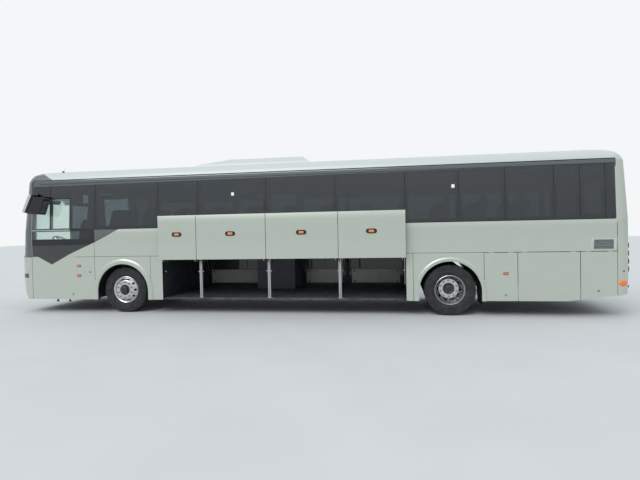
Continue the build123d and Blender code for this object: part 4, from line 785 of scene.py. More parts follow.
# Baked enamel, shiny but wiped dull in streaks
cap_finish, tree, shader = finish_named("black hub cap enamel", "#191b1d", roughness=0.3, Coat_Weight=0.4)
vary_roughness(tree, shader, 0.22, 0.42, 25)
for label, body, x, places in WHEELS:
    way = 1 if places[0] > 0 else -1
    twin = len(places) == 2
    bm = rim(x, places[0], -way if twin else way)
    if twin:
        inner = rim(x, places[1], way)
        spare = bpy.data.meshes.new("inner rim")
        inner.to_mesh(spare)
        inner.free()
        bm.from_mesh(spare)
        bpy.data.meshes.remove(spare)
    make(f"rim_{label}", bm, body, alloy, smooth=32, slot="axle_metal", stands_for=[body])
    face = places[0] + (DISHED_FACE if twin else FORGED_FACE) * way
    bm = bmesh.new()
    nut_ring(bm, x, face, way)
    length = DISHED_HUB if twin else FORGED_HUB
    hub = [(0.0, length), (0.060, length), (0.072, length - 0.006), (0.080, length - 0.020), (0.083, 0.012),
           (0.108, 0.010), (0.116, 0.002), (0.116, -0.004), (0.0, -0.004)]
    turned(bm, [(r, t * way) for r, t in hub], (x, face, TYRE_R), finish=1, steps=48, closed=False)
    cap = [(0.0, length + 0.004), (0.046, length + 0.004), (0.050, length + 0.001), (0.050, length - 0.002),
           (0.0, length - 0.002)]
    turned(bm, [(r, t * way) for r, t in cap], (x, face, TYRE_R), finish=1, steps=48, closed=False)
    for k in range(8):
        angle = math.tau * k / 8
        u, v = x + 0.062 * math.cos(angle), TYRE_R + 0.062 * math.sin(angle)
        bar(bm, (u, face + (length - 0.004) * way, v), (u, face + (length + 0.003) * way, v), 0.006, 0, 6)
    make(f"hub_{label}", bm, body, steel, cap_finish, smooth=30, slot="axle_metal")
print(len(WHEELS), "wheels with", NUTS, "nuts each")

# %% [markdown]
# ## Seals, dividers and trims on the sides
# Between the panes lies black rubber, and thin black lines close the glass at the waist, at its top
# and under the roof's cove. They all follow the lean of the side, so each is built upright on the
# skin's plane, cut at the heights where the lean changes, and then laid onto the skin.

# %% Seals between the panes
def onto_skin(bm):
    """Leans what stands on the side's upright plane so that it follows the side's real lean."""
    for z, _ in SECTION[1:-1]:
        bmesh.ops.bisect_plane(bm, geom=bm.verts[:] + bm.edges[:] + bm.faces[:], plane_co=(0, 0, z),
                               plane_no=(0, 0, 1))
    for vertex in bm.verts:
        way = -1 if vertex.co.y < 0 else 1
        vertex.co.y = way * (abs(vertex.co.y) + skin_at(vertex.co.z) - SKIN)


def strip(bm, x0, x1, z0, z1, proud, deep, round_by=0.0):
    """A flat strip on the left side, from deep under the skin to proud of it."""
    block(bm, (x0, -SKIN - proud, z0), (x1, -SKIN + deep, z1), round_by)


# Where one pane ends and the next begins, along X
PANE_JOINTS = [-4.459, -2.964, -2.040, -0.536, 0.925, 2.328, 3.367, 4.232, 5.116, 5.574, 6.017]
JOINT_HALF = 0.0055
BAND_START, BAND_END = -6.044, 6.195
V_FRONT, V_REAR = -4.490, -3.870
V_LOW = 1.567

bm = bmesh.new()
for x in PANE_JOINTS:
    strip(bm, x - JOINT_HALF, x + JOINT_HALF, WAIST + 0.004, GLASS_TOP - 0.004, -0.0015, 0.007)
strip(bm, V_FRONT + 0.03, BAND_END - 0.01, WAIST - 0.012, WAIST + 0.003, 0.0015, 0.004, round_by=0.0012)
strip(bm, BAND_START + 0.2, BAND_END, GLASS_TOP - 0.004, GLASS_TOP + 0.006, 0.001, 0.004, round_by=0.0008)
onto_skin(bm)
make("window_seals_left", bm, "root", rubber, slot="black_plastic")

bm = bmesh.new()
for x in PANE_JOINTS[1:]:
    if not -1.30 < x < -0.28:
        strip(bm, x - JOINT_HALF, x + JOINT_HALF, WAIST + 0.004, GLASS_TOP - 0.004, -0.0015, 0.007)
for x0, x1 in ((-4.99, -1.22), (-0.30, BAND_END)):
    strip(bm, x0, x1, WAIST - 0.008, WAIST + 0.003, 0.001, 0.004, round_by=0.0008)
    strip(bm, x0, x1, GLASS_TOP - 0.004, GLASS_TOP + 0.006, 0.001, 0.004, round_by=0.0008)
onto_skin(bm)
bmesh.ops.scale(bm, vec=(1, -1, 1), verts=bm.verts)
make("window_seals_right", bm, "root", rubber, slot="black_plastic")

# %% Gutter under the roof's cove
bm = bmesh.new()
strip(bm, -5.93, 6.19, COVE - 0.016, COVE - 0.001, 0.004, 0.01, round_by=0.002)
onto_skin(bm)
mirrored_too(bm)
make("roof_gutters", bm, "root", rubber, slot="black_plastic")
print(len(PANE_JOINTS), "joints between panes on the left")

# %% [markdown]
# ## Trim and seams
# The glass dips to a V behind the driver. A grey triangle fills its corner. Below the waist the fixed
# panels meet in dark seams, 8 mm wide.

# %% Grey triangle behind the driver's window
# Satin moulding, wiped duller in patches. It sets the V off from the black glass.
trim_grey, tree, shader = finish_named("satin grey moulded trim", "#626867", 0.15, 0.42)
vary_roughness(tree, shader, 0.36, 0.5, 60)
bm = bmesh.new()
corners = [(V_FRONT + 0.012, V_LOW + 0.022), (V_REAR - 0.030, WAIST - 0.014),
           (V_FRONT + 0.012, WAIST - 0.014)]
plate(bm, [(x, -SKIN - 0.002, z) for x, z in corners], (0, 0.004, 0), round_by=0.001)
make("triangle_trim_left", bm, "root", trim_grey, slot="dark_paint")

# %% Dark lines in the seams between the fixed panels
# Sealing compound is matt, so a seam stays dark from every side
seam_grey = finish_named("dark sealing compound in a seam", "#3d4240", roughness=0.7)[0]
SEAM_HALF = 0.004
# columns: x, z from, z to
STANDING_SEAMS = [(MASK_X, 0.300, 1.262), (-4.490, 0.300, 1.560), (-3.158, 0.300, FLAP_LINE),
                  (2.468, 0.300, FLAP_LINE), (3.825, 0.300, FLAP_LINE), (6.212, 0.440, 1.790)]
# columns: side, where the front lying seam starts
for side, lying_from in (("left", -4.960), ("right", -4.490)):
    bm = bmesh.new()
    for x, z0, z1 in STANDING_SEAMS:
        strip(bm, x - SEAM_HALF, x + SEAM_HALF, z0, z1, 0.0002, 0.003)
    for x0, x1 in ((lying_from, -2.890), (2.340, 3.825)):
        strip(bm, x0, x1, FLAP_LINE - SEAM_HALF, FLAP_LINE + SEAM_HALF, 0.0002, 0.003)
    if side == "right":
        bmesh.ops.scale(bm, vec=(1, -1, 1), verts=bm.verts)
    make(f"panel_seams_{side}", bm, "root", seam_grey, slot="dark_paint")

# %% Stubs of the jacking points under the sill
bm = bmesh.new()
for x in (-5.489, -5.186):
    turned(bm, [(0.0, 0.236), (0.020, 0.236), (0.024, 0.242), (0.024, 0.262), (0.017, 0.270),
                (0.017, 0.312), (0, 0.312)], (x, -1.190, 0), axis="z", steps=20, closed=False)
make("sill_stubs", bm, "root", black_plastic, slot="black_plastic")
print(2 * len(STANDING_SEAMS), "standing seams")

# %% [markdown]
# ## Luggage hatches
# Each hatch is a flat painted pan with one marker lamp: an oval black bezel with an amber lens in its
# middle. The lamp is built once for a given place, on whichever side, and rides on its hatch.

# %% Marker lamps on the hatches
LAMP_ABOVE_SILL = 0.535
# Length, height and depth of a bezel
HATCH_LAMP, SIDE_LAMP = (0.218, 0.096, 0.0075), (0.106, 0.050, 0.0125)
LEFT_COUNT, RIGHT_COUNT = 4, 3


def oval(x, z, length, height):
    """The outline of a slot-shaped oval seen from the side, as (x, z) points."""
    return rounded(x - length / 2, x + length / 2, z - height / 2, z + height / 2, height / 2 - 0.0005, 8)


def marker_lamp(bm, x, y, z, way, length, height, deep, bezel, lens, lens_share):
    """An oval lamp on a side: bezel, recess and lens. y is the panel's face, way is outwards."""
    plate(bm, [(u, y, v) for u, v in oval(x, z, length, height)], (0, way * deep, 0), bezel, 0.0015)
    inner = oval(x, z, length * lens_share, height * 0.50)
    plate(bm, [(u, y + way * (deep - 0.002), v) for u, v in inner], (0, way * 0.006, 0), lens, 0.002)
    for k in range(-3, 4):
        u = x + length * lens_share * 0.11 * k
        block(bm, (u - 0.0012, y + way * (deep + 0.0036), z - height * 0.2),
              (u + 0.0012, y + way * (deep + 0.0046), z + height * 0.2), 0, lens)


hatches = [(f"{side}_{k + 1}", way)
           for side, way, count in (("left", -1, LEFT_COUNT), ("right", 1, RIGHT_COUNT))
           for k in range(count)]
for label, way in hatches:
    low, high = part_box(f"hatch_{label}")
    x = (low.x + high.x) / 2
    face = (high.y if way > 0 else low.y) - way * LAMP_SEAT
    bm = bmesh.new()
    marker_lamp(bm, x, face, low.z + LAMP_ABOVE_SILL, way, *HATCH_LAMP, 0, 1, 0.50)
    make(f"hatch_lamp_{label}", bm, f"hatch_{label}", gloss_black, amber, smooth=30, slot="lamp_amber")
print(len(hatches), "marker lamps")

# %% Rubber seals round the back of each hatch
SEAL_IN, PAN_DEPTH = 0.030, 0.035
for label, way in hatches:
    low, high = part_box(f"hatch_{label}")
    y = (high.y if way > 0 else low.y) - way * (LAMP_SEAT + PAN_DEPTH + 0.003)
    x0, x1, z0, z1 = low.x + SEAL_IN, high.x - SEAL_IN, low.z + SEAL_IN, high.z - SEAL_IN
    ring = rounded(x0, x1, z0, z1, 0.03, 3)
    bm = bmesh.new()
    rod(bm, [(u, y, v) for u, v in ring + ring[:1]], 0.006, sides=8, smooth=False)
    make(f"hatch_seal_{label}", bm, f"hatch_{label}", rubber, slot="black_plastic")
print(len(hatches), "seals")

# %% [markdown]
# ## Inside the luggage bays
# Bright aluminium posts stand between the bays. The floor is dark and ribbed, with a worn metal sill.
# Through the bays one sees the backs of the far hatches: pale boards with black corner fittings.

# %% Posts, sill and floor ribs
# Anodised aluminium is brighter and softer than steel
aluminium, tree, shader = finish_named("anodised aluminium profile", "#c9cbc9", 0.85, 0.36)
vary_roughness(tree, shader, 0.28, 0.46, 50)
# Moulded floor board, polished along the tracks where luggage slides
bay_lining, tree, shader = finish_named("ribbed grey floor board", "#3f4447", roughness=0.5)
vary_colour(tree, shader, "#393e41", "#494e51", 240)
vary_roughness(tree, shader, 0.42, 0.68, 120)
hold_low, hold_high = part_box("luggage_hold")
HOLD_FLOOR = 0.340
POSTS = [-2.019, -0.505, 0.995]
POST_HALF, POST_FACE = 0.029, -1.221
bm = bmesh.new()
for x in POSTS:
    block(bm, (x - POST_HALF, POST_FACE, HOLD_FLOOR), (x + POST_HALF, -1.158, hold_high.z - 0.002), 0.005)
    block(bm, (x - 0.012, POST_FACE - 0.0035, HOLD_FLOOR + 0.01),
          (x + 0.012, POST_FACE, hold_high.z - 0.01), 0.0015, 1)
    block(bm, (x - 0.045, POST_FACE - 0.004, HOLD_FLOOR), (x + 0.045, -1.15, HOLD_FLOOR + 0.012), 0.002)
make("bay_posts_left", bm, "root", aluminium, steel, slot="axle_metal")

RIBS, RIB_PITCH, RIB_WIDE, RIB_HIGH = 26, 0.09, 0.03, 0.004
# The middle door's stairwell interrupts the ribs on the right
STAIR_Y, STAIR_X = 0.30, (-1.262, -0.252)
bm = bmesh.new()
for y in (-1.227, 1.213):
    block(bm, (hold_low.x + 0.05, y, 0.298), (hold_high.x - 0.05, y + 0.014, HOLD_FLOOR + RIB_HIGH), 0.003)
for k in range(RIBS):
    y = -1.14 + k * RIB_PITCH
    ends = [hold_low.x + 0.06, hold_high.x - 0.06] if y < STAIR_Y else [
        hold_low.x + 0.06, *STAIR_X, hold_high.x - 0.06]
    for x0, x1 in zip(ends[::2], ends[1::2]):
        block(bm, (x0, y, HOLD_FLOOR), (x1, y + RIB_WIDE, HOLD_FLOOR + RIB_HIGH), 0.0015, 1)
# Painted sill, rubbed through to metal in patches
sill_metal, tree, shader = finish_named("worn dark sill", "#4c5053", 0.6, 0.42)
vary_colour(tree, shader, "#43474a", "#5d6164", 160)
make("bay_sills", bm, "root", sill_metal, bay_lining, slot="hold_lining")

# %% Boards on the backs of the far hatches
# Pale washable board: the brightest thing that shows in the open bays
board_paint, tree, shader = finish_named("pale grey lining board", "#dcded8", roughness=0.45)
vary_colour(tree, shader, "#d4d7d0", "#e4e6e0", 300)
BOARD_Y, BOARD_Z, BOARD_IN = 1.2365, (0.385, 0.735), 0.115
for label, _ in hatches[LEFT_COUNT:]:
    low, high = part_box(f"hatch_{label}")
    x0, x1 = low.x + BOARD_IN, high.x - BOARD_IN
    z0, z1 = BOARD_Z
    bm = bmesh.new()
    block(bm, (x0, BOARD_Y - 0.008, z0), (x1, BOARD_Y, z1), 0.003)
    for z in (z0 + 0.045, z1 - 0.045):
        block(bm, (x0 + 0.02, BOARD_Y - 0.014, z - 0.008), (x1 - 0.02, BOARD_Y - 0.006, z + 0.008), 0.002)
        for x in (x0 + 0.07, x1 - 0.07):
            bar(bm, (x, BOARD_Y - 0.024, z), (x, BOARD_Y - 0.005, z), 0.019, 1, 18)
    make(f"hatch_board_{label}", bm, f"hatch_{label}", board_paint, black_plastic, slot="hold_lining")

# %% Striker pins at the sides of each open bay
STRIKER_Y, STRIKER_Z = -1.200, 0.905
bm = bmesh.new()
for label, _ in hatches[:LEFT_COUNT]:
    low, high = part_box(f"hatch_{label}")
    for edge, way in ((low.x, 1), (high.x, -1)):
        x = edge + way * 0.030
        neck, head = [(x + way * out, STRIKER_Y, STRIKER_Z) for out in (0.020, 0.024)]
        bar(bm, (x, STRIKER_Y, STRIKER_Z), neck, 0.014, 0, 16)
        bar(bm, neck, head, 0.019, 0, 16)
        x0, x1 = sorted((x - way * 0.004, x))
        block(bm, (x0, -1.214, 0.870), (x1, -1.168, 0.940), 0.0015, 1)
make("bay_strikers_left", bm, "root", steel, black_plastic, slot="axle_metal")
print(len(POSTS), "posts,", RIB_PITCH, "m between ribs, bays lined")

# %% [markdown]
# ## Small things on the sides
# A coach's skirt carries side marker lamps, square-key locks, a small service flap and labels, blank
# here. They are tiny, yet the eye uses them to judge how big the coach is.

# %% Side lamps, locks and the service flap
# columns: x, z
SIDE_LAMPS = [(-4.880, 1.050), (-4.880, 0.833), (4.227, 0.838)]
# Orange acrylic, deeper in tone than the hatches' amber
orange_lens, tree, shader = finish_named(
    "orange moulded lens", "#f2813a", roughness=0.22, Transmission_Weight=0.15, Emission_Strength=0.08)
shader.inputs["Emission Color"].default_value = linear("#ff7a20")
bm = bmesh.new()
for x, z in SIDE_LAMPS:
    marker_lamp(bm, x, -SKIN, z, -1, *SIDE_LAMP, 1, 0, 0.92)
x, z = SIDE_LAMPS[-1]
marker_lamp(bm, x, SKIN, z, 1, *SIDE_LAMP, 1, 0, 0.92)
make("side_marker_lamps", bm, "root", orange_lens, trim_grey, smooth=30, slot="lamp_amber",
     stands_for=["side_lamps"])


def key_lock(bm, x, z, way, radius=0.017):
    """A round black lock with a square key hole, on a side's face."""
    y = way * SKIN
    bar(bm, (x, y + way * 0.004, z), (x, y - way * 0.006, z), radius, 0, 20)
    bar(bm, (x, y + way * 0.0055, z), (x, y, z), radius * 0.62, 1, 16)
    block(bm, (x - 0.004, y + way * 0.0062, z - 0.004), (x + 0.004, y + way * 0.003, z + 0.004), 0, 0)


# columns: body, side, places (x, z)
LOCKS = [("root", -1, [(-5.036, 0.417), (-4.611, 0.910)]), ("flap_left_1", -1, [(4.223, 0.421)]),
         ("flap_left_3", -1, [(5.881, 0.501)]), ("flap_right_1", 1, [(4.900, 0.460)]),
         ("flap_right_2", 1, [(5.881, 0.501)])]
for body, way, places in LOCKS:
    bm = bmesh.new()
    for x, z in places:
        key_lock(bm, x, z, way)
    make(f"locks_{body}", bm, body, black_plastic, steel, slot="black_plastic")

service = rounded(-4.743, -4.577, 0.843, 1.023, 0.014, 3)
bm = bmesh.new()
rod(bm, [(u, -SKIN + 0.0008, v) for u, v in service + service[:1]], 0.0016, sides=6, smooth=False)
make("service_flap_line", bm, "root", rubber, slot="black_plastic")

bm = bmesh.new()
for x, z in ((-1.263, 2.545), (3.262, 2.560)):
    strip(bm, x - 0.030, x + 0.030, z - 0.034, z + 0.034, 0.0008, 0.001)
onto_skin(bm)
# Printed film without print
label_white = finish_named("blank white label", "#f2f4f3", roughness=0.4)[0]
make("blank_labels_left", bm, "root", label_white, slot="body_paint")

# %% Waist rail under the driver's window
bm = bmesh.new()
strip(bm, -6.03, -5.075, WAIST - 0.020, WAIST - 0.001, 0.001, 0.005, round_by=0.001)
# A lacquered light metal profile, as bright as the body
rail_grey = finish_named("light grey rail", "#b2b6b2", 0.3, 0.35)[0]
make("driver_window_rail", bm, "root", rail_grey, slot="body_paint")

# %% [markdown]
# ## Seats
# A coach seat is foam under a tight woven cover: crowned in the middle, pulled in at the seams. Cloth
# simulation gives that swell by itself: a slightly smaller pad is blown up like a balloon for twenty
# frames. One cushion and one back are simulated, and every place in the cabin gets a copy of them.

# %% Blow up a pad
PAD_VOXEL, PAD_PRESSURE, PAD_SWELL = 0.017, 4.0, 0.014


def inflated(bm):
    """The shape remeshed and swollen as cloth by at most PAD_SWELL, as a mesh."""
    bmesh.ops.recalc_face_normals(bm, faces=bm.faces)
    rough = bpy.data.meshes.new("pad")
    bm.to_mesh(rough)
    bm.free()
    pad = bpy.data.objects.new("pad", rough)
    bpy.context.scene.collection.objects.link(pad)
    remesh = pad.modifiers.new("even grid", "REMESH")
    remesh.mode = "VOXEL"
    remesh.voxel_size = PAD_VOXEL
    bpy.context.view_layer.update()
    fine = bpy.data.meshes.new_from_object(pad.evaluated_get(bpy.context.evaluated_depsgraph_get()))
    pad.modifiers.clear()
    pad.data = fine
    rest = [v.co.copy() for v in fine.vertices]
    cloth = pad.modifiers.new("swell", "CLOTH")
    cloth.settings.use_pressure = True
    cloth.settings.uniform_pressure_force = PAD_PRESSURE
    cloth.settings.effector_weights.gravity = 0
    for k in range(1, 21):
        bpy.context.scene.frame_set(k)
    seen = pad.evaluated_get(bpy.context.evaluated_depsgraph_get())
    swollen = bpy.data.meshes.new_from_object(seen)
    pad.modifiers.clear()
    bpy.context.scene.frame_set(1)
    for vertex, start in zip(swollen.vertices, rest):
        step = vertex.co - start
        vertex.co = start + step * min(1.0, PAD_SWELL / max(step.length, 1e-9))
    pad.data = swollen
    mesh = pad.data
    bpy.data.objects.remove(pad)
    return mesh


PAD_HALF = 0.216
bm = bmesh.new()
block(bm, (-0.225, -PAD_HALF, -0.048), (0.225, PAD_HALF, 0.030), 0.026, steps=3)
cushion_pad = inflated(bm)
bm = bmesh.new()
plate(bm, [(u, v, -0.036) for u, v in rounded(-0.320, 0.300, -PAD_HALF, PAD_HALF, 0.075, 5)],
      (0, 0, 0.070), round_by=0.018)
back_pad = inflated(bm)
print("one pad has", len(cushion_pad.polygons), "and", len(back_pad.polygons), "faces")

# %% Upholstery
# Moquette: short pile that glows at grazing angles. Its diagonal threads are about 1 mm apart and are
# drawn 18 mm apart, which still shows through dark glass.
THREAD_SCALE = 19.90446
seat_cloth, tree, shader = finish_named(
    "woven moquette", "#3a4048", roughness=0.85, Sheen_Weight=0.35, Sheen_Roughness=0.5)
vary_colour(tree, shader, "#31373f", "#454c55", 14, sharpness=0.3)
threads = add(tree, "ShaderNodeTexWave", {
    "Vector": surface_point(tree), "Scale": THREAD_SCALE, "Distortion": 0.6}, bands_direction="DIAGONAL")
bump(tree, shader, threads.outputs["Fac"], 0.6, strength=0.5)
# Grained shell moulding, a grain of 6 mm instead of 1
shell_plastic, tree, shader = finish_named("moulded grey seat shell", "#4a4e51", roughness=0.55)
bump(tree, shader, noise(tree, 6, detail=2).outputs["Fac"], 0.25, strength=0.4)

# %% Rows of double seats
ROW_PITCH, FIRST_ROW, ROWS = 0.790, -4.150, 12
SEAT_MIDDLES = (0.470, 0.950)
RIGHT_SKIPS = (-1.795, -0.070)
CUSHION_TILT, BACK_LEAN = math.radians(4), math.radians(106)
LEG_Y = 0.44
# The shell behind a backrest, seen from the side: (x, height over the deck)
BACK_SHELL = [(-0.12, 0.40), (-0.03, 0.40), (0.145, 1.03), (0.125, 1.055), (0.095, 1.03)]


def place_pad(bm, mesh, x, y, z, tilt):
    """Adds a pad at a place, turned about the coach's cross axis."""
    before = set(bm.verts)
    bm.from_mesh(mesh)
    new = [v for v in bm.verts if v not in before]
    bmesh.ops.transform(bm, verts=new, matrix=Matrix.Translation((x, y, z)) @ Matrix.Rotation(tilt, 4, "Y"))


def add_double_seat(cushions, backs, shells, x, way):
    """Two places side by side, whose seat and back meet at x. way is the side of the aisle."""
    def deck_block(x0, x1, y0, y1, z0, z1, round_by, finish=0):
        block(shells, (x + x0, y0, DECK + z0), (x + x1, y1, DECK + z1), round_by, finish)

    for y in SEAT_MIDDLES:
        y *= way
        place_pad(cushions, cushion_pad, x - 0.225, y, DECK + 0.400, CUSHION_TILT)
        place_pad(backs, back_pad, x - 0.005, y, DECK + 0.745, BACK_LEAN)
        bar(backs, (x + 0.118, y - 0.10, DECK + 1.008), (x + 0.118, y + 0.10, DECK + 1.008), 0.036, 0, 14)
        plate(shells, [(x + 0.055 + dx, y - 0.215, DECK + dz) for dx, dz in BACK_SHELL],
              (0, 0.43, 0), 0, 0.012)
        deck_block(-0.44, 0.03, y - 0.21, y + 0.21, 0.315, 0.352, 0.012)
    leg = way * LEG_Y
    deck_block(-0.06, 0.0, leg - 0.03, leg + 0.03, 0.01, 0.34, 0.01, 1)
    deck_block(-0.30, 0.05, leg - 0.035, leg + 0.035, 0, 0.016, 0.004, 1)
    deck_block(-0.10, -0.06, *sorted((leg, way * 1.19)), 0.285, 0.318, 0.006, 1)
    deck_block(-0.33, 0.0, *sorted((way * 0.232, way * 0.268)), 0.600, 0.635, 0.012)
    y = way * 0.262
    bar(shells, (x + 0.10, y, DECK + 0.92), (x + 0.155, y, DECK + 1.01), 0.011, 2, 12)
    ball(shells, (x + 0.158, y, DECK + 1.015), 0.019, 2)


for side, way in (("left", -1), ("right", 1)):
    rows = [FIRST_ROW + ROW_PITCH * k for k in range(ROWS)]
    rows = [x for x in rows if way < 0 or not RIGHT_SKIPS[0] < x < RIGHT_SKIPS[1]]
    cushions, backs, shells = bmesh.new(), bmesh.new(), bmesh.new()
    for x in rows:
        add_double_seat(cushions, backs, shells, x, way)
    cloth_piece = make(f"seat_cushions_{side}", cushions, "root", seat_cloth, smooth=60, slot="seat_fabric")
    back_piece = make(f"seat_backs_{side}", backs, "root", seat_cloth, smooth=60, slot="seat_fabric")
    make(f"seat_shells_{side}", shells, "root", shell_plastic, casting, black_plastic,
         stands_for=[f"seats_{side}"], slot="black_plastic")
    print(side, len(rows), "double seats")

# %% [markdown]
# ## The driver's place
# Behind the clear panes on the left sits the driver's station: a suspended seat, a moulded dashboard
# and a big flat steering wheel. They show through the glass, so they are modelled with soft edges.

# %% Dashboard and steering wheel
DRIVER_X, DRIVER_Y, CAB_FLOOR = -5.080, -0.750, 0.960
# Foamed skin with a soft grain, drawn 5 mm wide
dash_plastic, tree, shader = finish_named("soft touch dashboard", "#2d3033", roughness=0.62)
bump(tree, shader, noise(tree, 5, detail=3).outputs["Fac"], 0.3, strength=0.5)
# Switched off screens are the shiniest black in the cabin
screen_black = finish_named("instrument glass", "#08090a", roughness=0.06, Coat_Weight=0.6)[0]
# Sections seen from the side: (x, height) from the driver's seat and floor
DASH = [(-1.120, 0.0), (-1.120, 0.460), (-1.05, 0.505), (-0.970, 0.540), (-0.860, 0.525),
        (-0.810, 0.470), (-0.820, 0.240), (-0.920, 0.0)]
DIALS_HOOD = [(-1.000, 0.500), (-0.980, 0.620), (-0.900, 0.628), (-0.845, 0.600), (-0.850, 0.500)]


def by_driver(forward, across, up):
    """A place given from the driver's seat and floor."""
    return DRIVER_X + forward, DRIVER_Y + across, CAB_FLOOR + up


bm = bmesh.new()
plate(bm, [(DRIVER_X + u, -1.100, CAB_FLOOR + w) for u, w in DASH], (0, 1.400, 0), 0, 0.014)
plate(bm, [by_driver(u, -0.260, w) for u, w in DIALS_HOOD], (0, 0.520, 0), 0, 0.012)
block(bm, by_driver(-0.852, -0.225, 0.515), by_driver(-0.840, 0.225, 0.595), 0.003, 1)
block(bm, (DRIVER_X - 0.822, -0.42, CAB_FLOOR + 0.330),
      (DRIVER_X - 0.808, -0.06, CAB_FLOOR + 0.470), 0.004, 1)
for k in range(5):
    y = -0.02 + 0.055 * k
    block(bm, (DRIVER_X - 0.824, y, CAB_FLOOR + 0.380),
          (DRIVER_X - 0.804, y + 0.040, CAB_FLOOR + 0.420), 0.004, 1)
make("dashboard", bm, "root", dash_plastic, screen_black, smooth=40, slot="black_plastic")

WHEEL_FOOT = Vector((-5.960, DRIVER_Y, 1.180))
WHEEL_TILT = math.radians(35)
WHEEL_R, GRIP_R, COLUMN = 0.215, 0.014, 0.500
lean = Matrix.Translation(WHEEL_FOOT) @ Matrix.Rotation(WHEEL_TILT, 4, "Y")
bm = bmesh.new()
grip = [(WHEEL_R + GRIP_R * math.cos(math.tau * k / 10), GRIP_R * math.sin(math.tau * k / 10))
        for k in range(10)]
turned(bm, grip, (0, 0, COLUMN), axis="z", steps=56)
for k in range(3):
    angle = math.radians(120 * k + 180)
    end = (WHEEL_R * math.cos(angle), WHEEL_R * math.sin(angle), COLUMN)
    bar(bm, (0, 0, COLUMN - 0.008), end, 0.013, 0, 12)
turned(bm, [(0, 0.020), (0.045, 0.018), (0.062, 0.004), (0.060, -0.016), (0.030, -0.030), (0, -0.032)],
       (0, 0, COLUMN), axis="z", steps=36, closed=False)
bar(bm, (0, 0, 0.0), (0, 0, COLUMN - 0.030), 0.026, 0, 20)
bmesh.ops.transform(bm, verts=bm.verts, matrix=lean)
make("steering_wheel", bm, "root", dash_plastic, smooth=50, slot="black_plastic")

# %% The driver's seat
bm = bmesh.new()
place_pad(bm, cushion_pad, *by_driver(-0.215, 0, 0.418), CUSHION_TILT)
place_pad(bm, back_pad, *by_driver(0.025, 0, 0.765), math.radians(100))
make("driver_seat_pads", bm, "root", seat_cloth, smooth=60, slot="seat_fabric")
bm = bmesh.new()
block(bm, by_driver(-0.38, -0.19, 0), by_driver(-0.06, 0.19, 0.05), 0.012)
for k in range(4):
    z = 0.06 + 0.055 * k
    block(bm, by_driver(-0.36, -0.17, z), by_driver(-0.08, 0.17, z + 0.04), 0.018)
block(bm, by_driver(-0.45, -0.225, 0.30), by_driver(0.02, 0.225, 0.366), 0.02)
plate(bm, [by_driver(u, -0.225, w) for u, w in
           ((0.02, 0.42), (0.06, 0.42), (0.165, 1.10), (0.140, 1.14), (0.105, 1.10))], (0, 0.45, 0), 0, 0.012)
for y in (-0.262, 0.262):
    block(bm, by_driver(-0.30, y - 0.022, 0.605), by_driver(0.05, y + 0.022, 0.645), 0.014)
make("driver_seat_frame", bm, "root", shell_plastic, stands_for=["driver_station"], slot="black_plastic")
print("driver's place fitted")

# %% [markdown]
# ## The front
# Lamps, mirrors and wipers sit on a face that is bowed both ways. A ray cast onto the solid finds the
# spot and the slope of the surface, so that every small part starts exactly on it.

# %% Find a spot on a solid
NODE_TREES = {}
FAR = 8.0


def meet(node, start, way):
    """Where a ray from start along way first meets a solid, and the surface's normal there."""
    if node not in NODE_TREES:
        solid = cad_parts[node]
        NODE_TREES[node] = BVHTree.FromPolygons([solid.matrix_world @ v.co for v in solid.data.vertices],
                                                [p.vertices[:] for p in solid.data.polygons])
    return NODE_TREES[node].ray_cast(Vector(start), Vector(way))[:2]


def from_front(node, y, z):
    """What a ray from ahead of the coach meets."""
    return meet(node, (-FAR, y, z), (1, 0, 0))


def from_rear(node, y, z):
    """What a ray from behind the coach meets."""
    return meet(node, (FAR, y, z), (-1, 0, 0))


def facing(place, normal):
    """The matrix that lays flat work, built about the origin with +Z outwards, onto a spot."""
    side = Vector((0, 0, 1)).cross(normal).normalized()
    up = normal.cross(side)
    turn = Matrix((side, up, normal)).transposed().to_4x4()
    return Matrix.Translation(place) @ turn


def laid(bm, before, place, normal):
    """Moves what was added since `before` onto a spot."""
    new = [v for v in bm.verts if v not in before]
    bmesh.ops.transform(bm, verts=new, matrix=facing(place, normal))


# %% [markdown]
# ## Inside the headlamps
# The lamp's solid is clear. What fills it is a black tray, which is that solid without its outer face
# and a millimetre smaller, with three bright reflectors and a light guide under the cover.

# %% Headlamps and fog lamps
# An acrylic bar that carries light along the lamp, softly lit
led_white, tree, shader = finish_named("light guide", "#f4f8fb", roughness=0.25, Emission_Strength=0.35)
shader.inputs["Emission Color"].default_value = linear("#eaf3ff")

TRAY_IN, GUIDE_IN = 0.0012, 0.014
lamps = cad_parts["headlamps"]
bm = bmesh.new()
bm.from_mesh(lamps.data)
bmesh.ops.transform(bm, verts=bm.verts, matrix=lamps.matrix_world)
bmesh.ops.remove_doubles(bm, verts=bm.verts, dist=1e-5)
bmesh.ops.recalc_face_normals(bm, faces=bm.faces)
outward = [f for f in bm.faces if f.normal.x < -0.35]
bmesh.ops.delete(bm, geom=outward, context="FACES")
for vertex in bm.verts:
    vertex.co -= vertex.normal * TRAY_IN
for face in bm.faces:
    face.material_index = 0
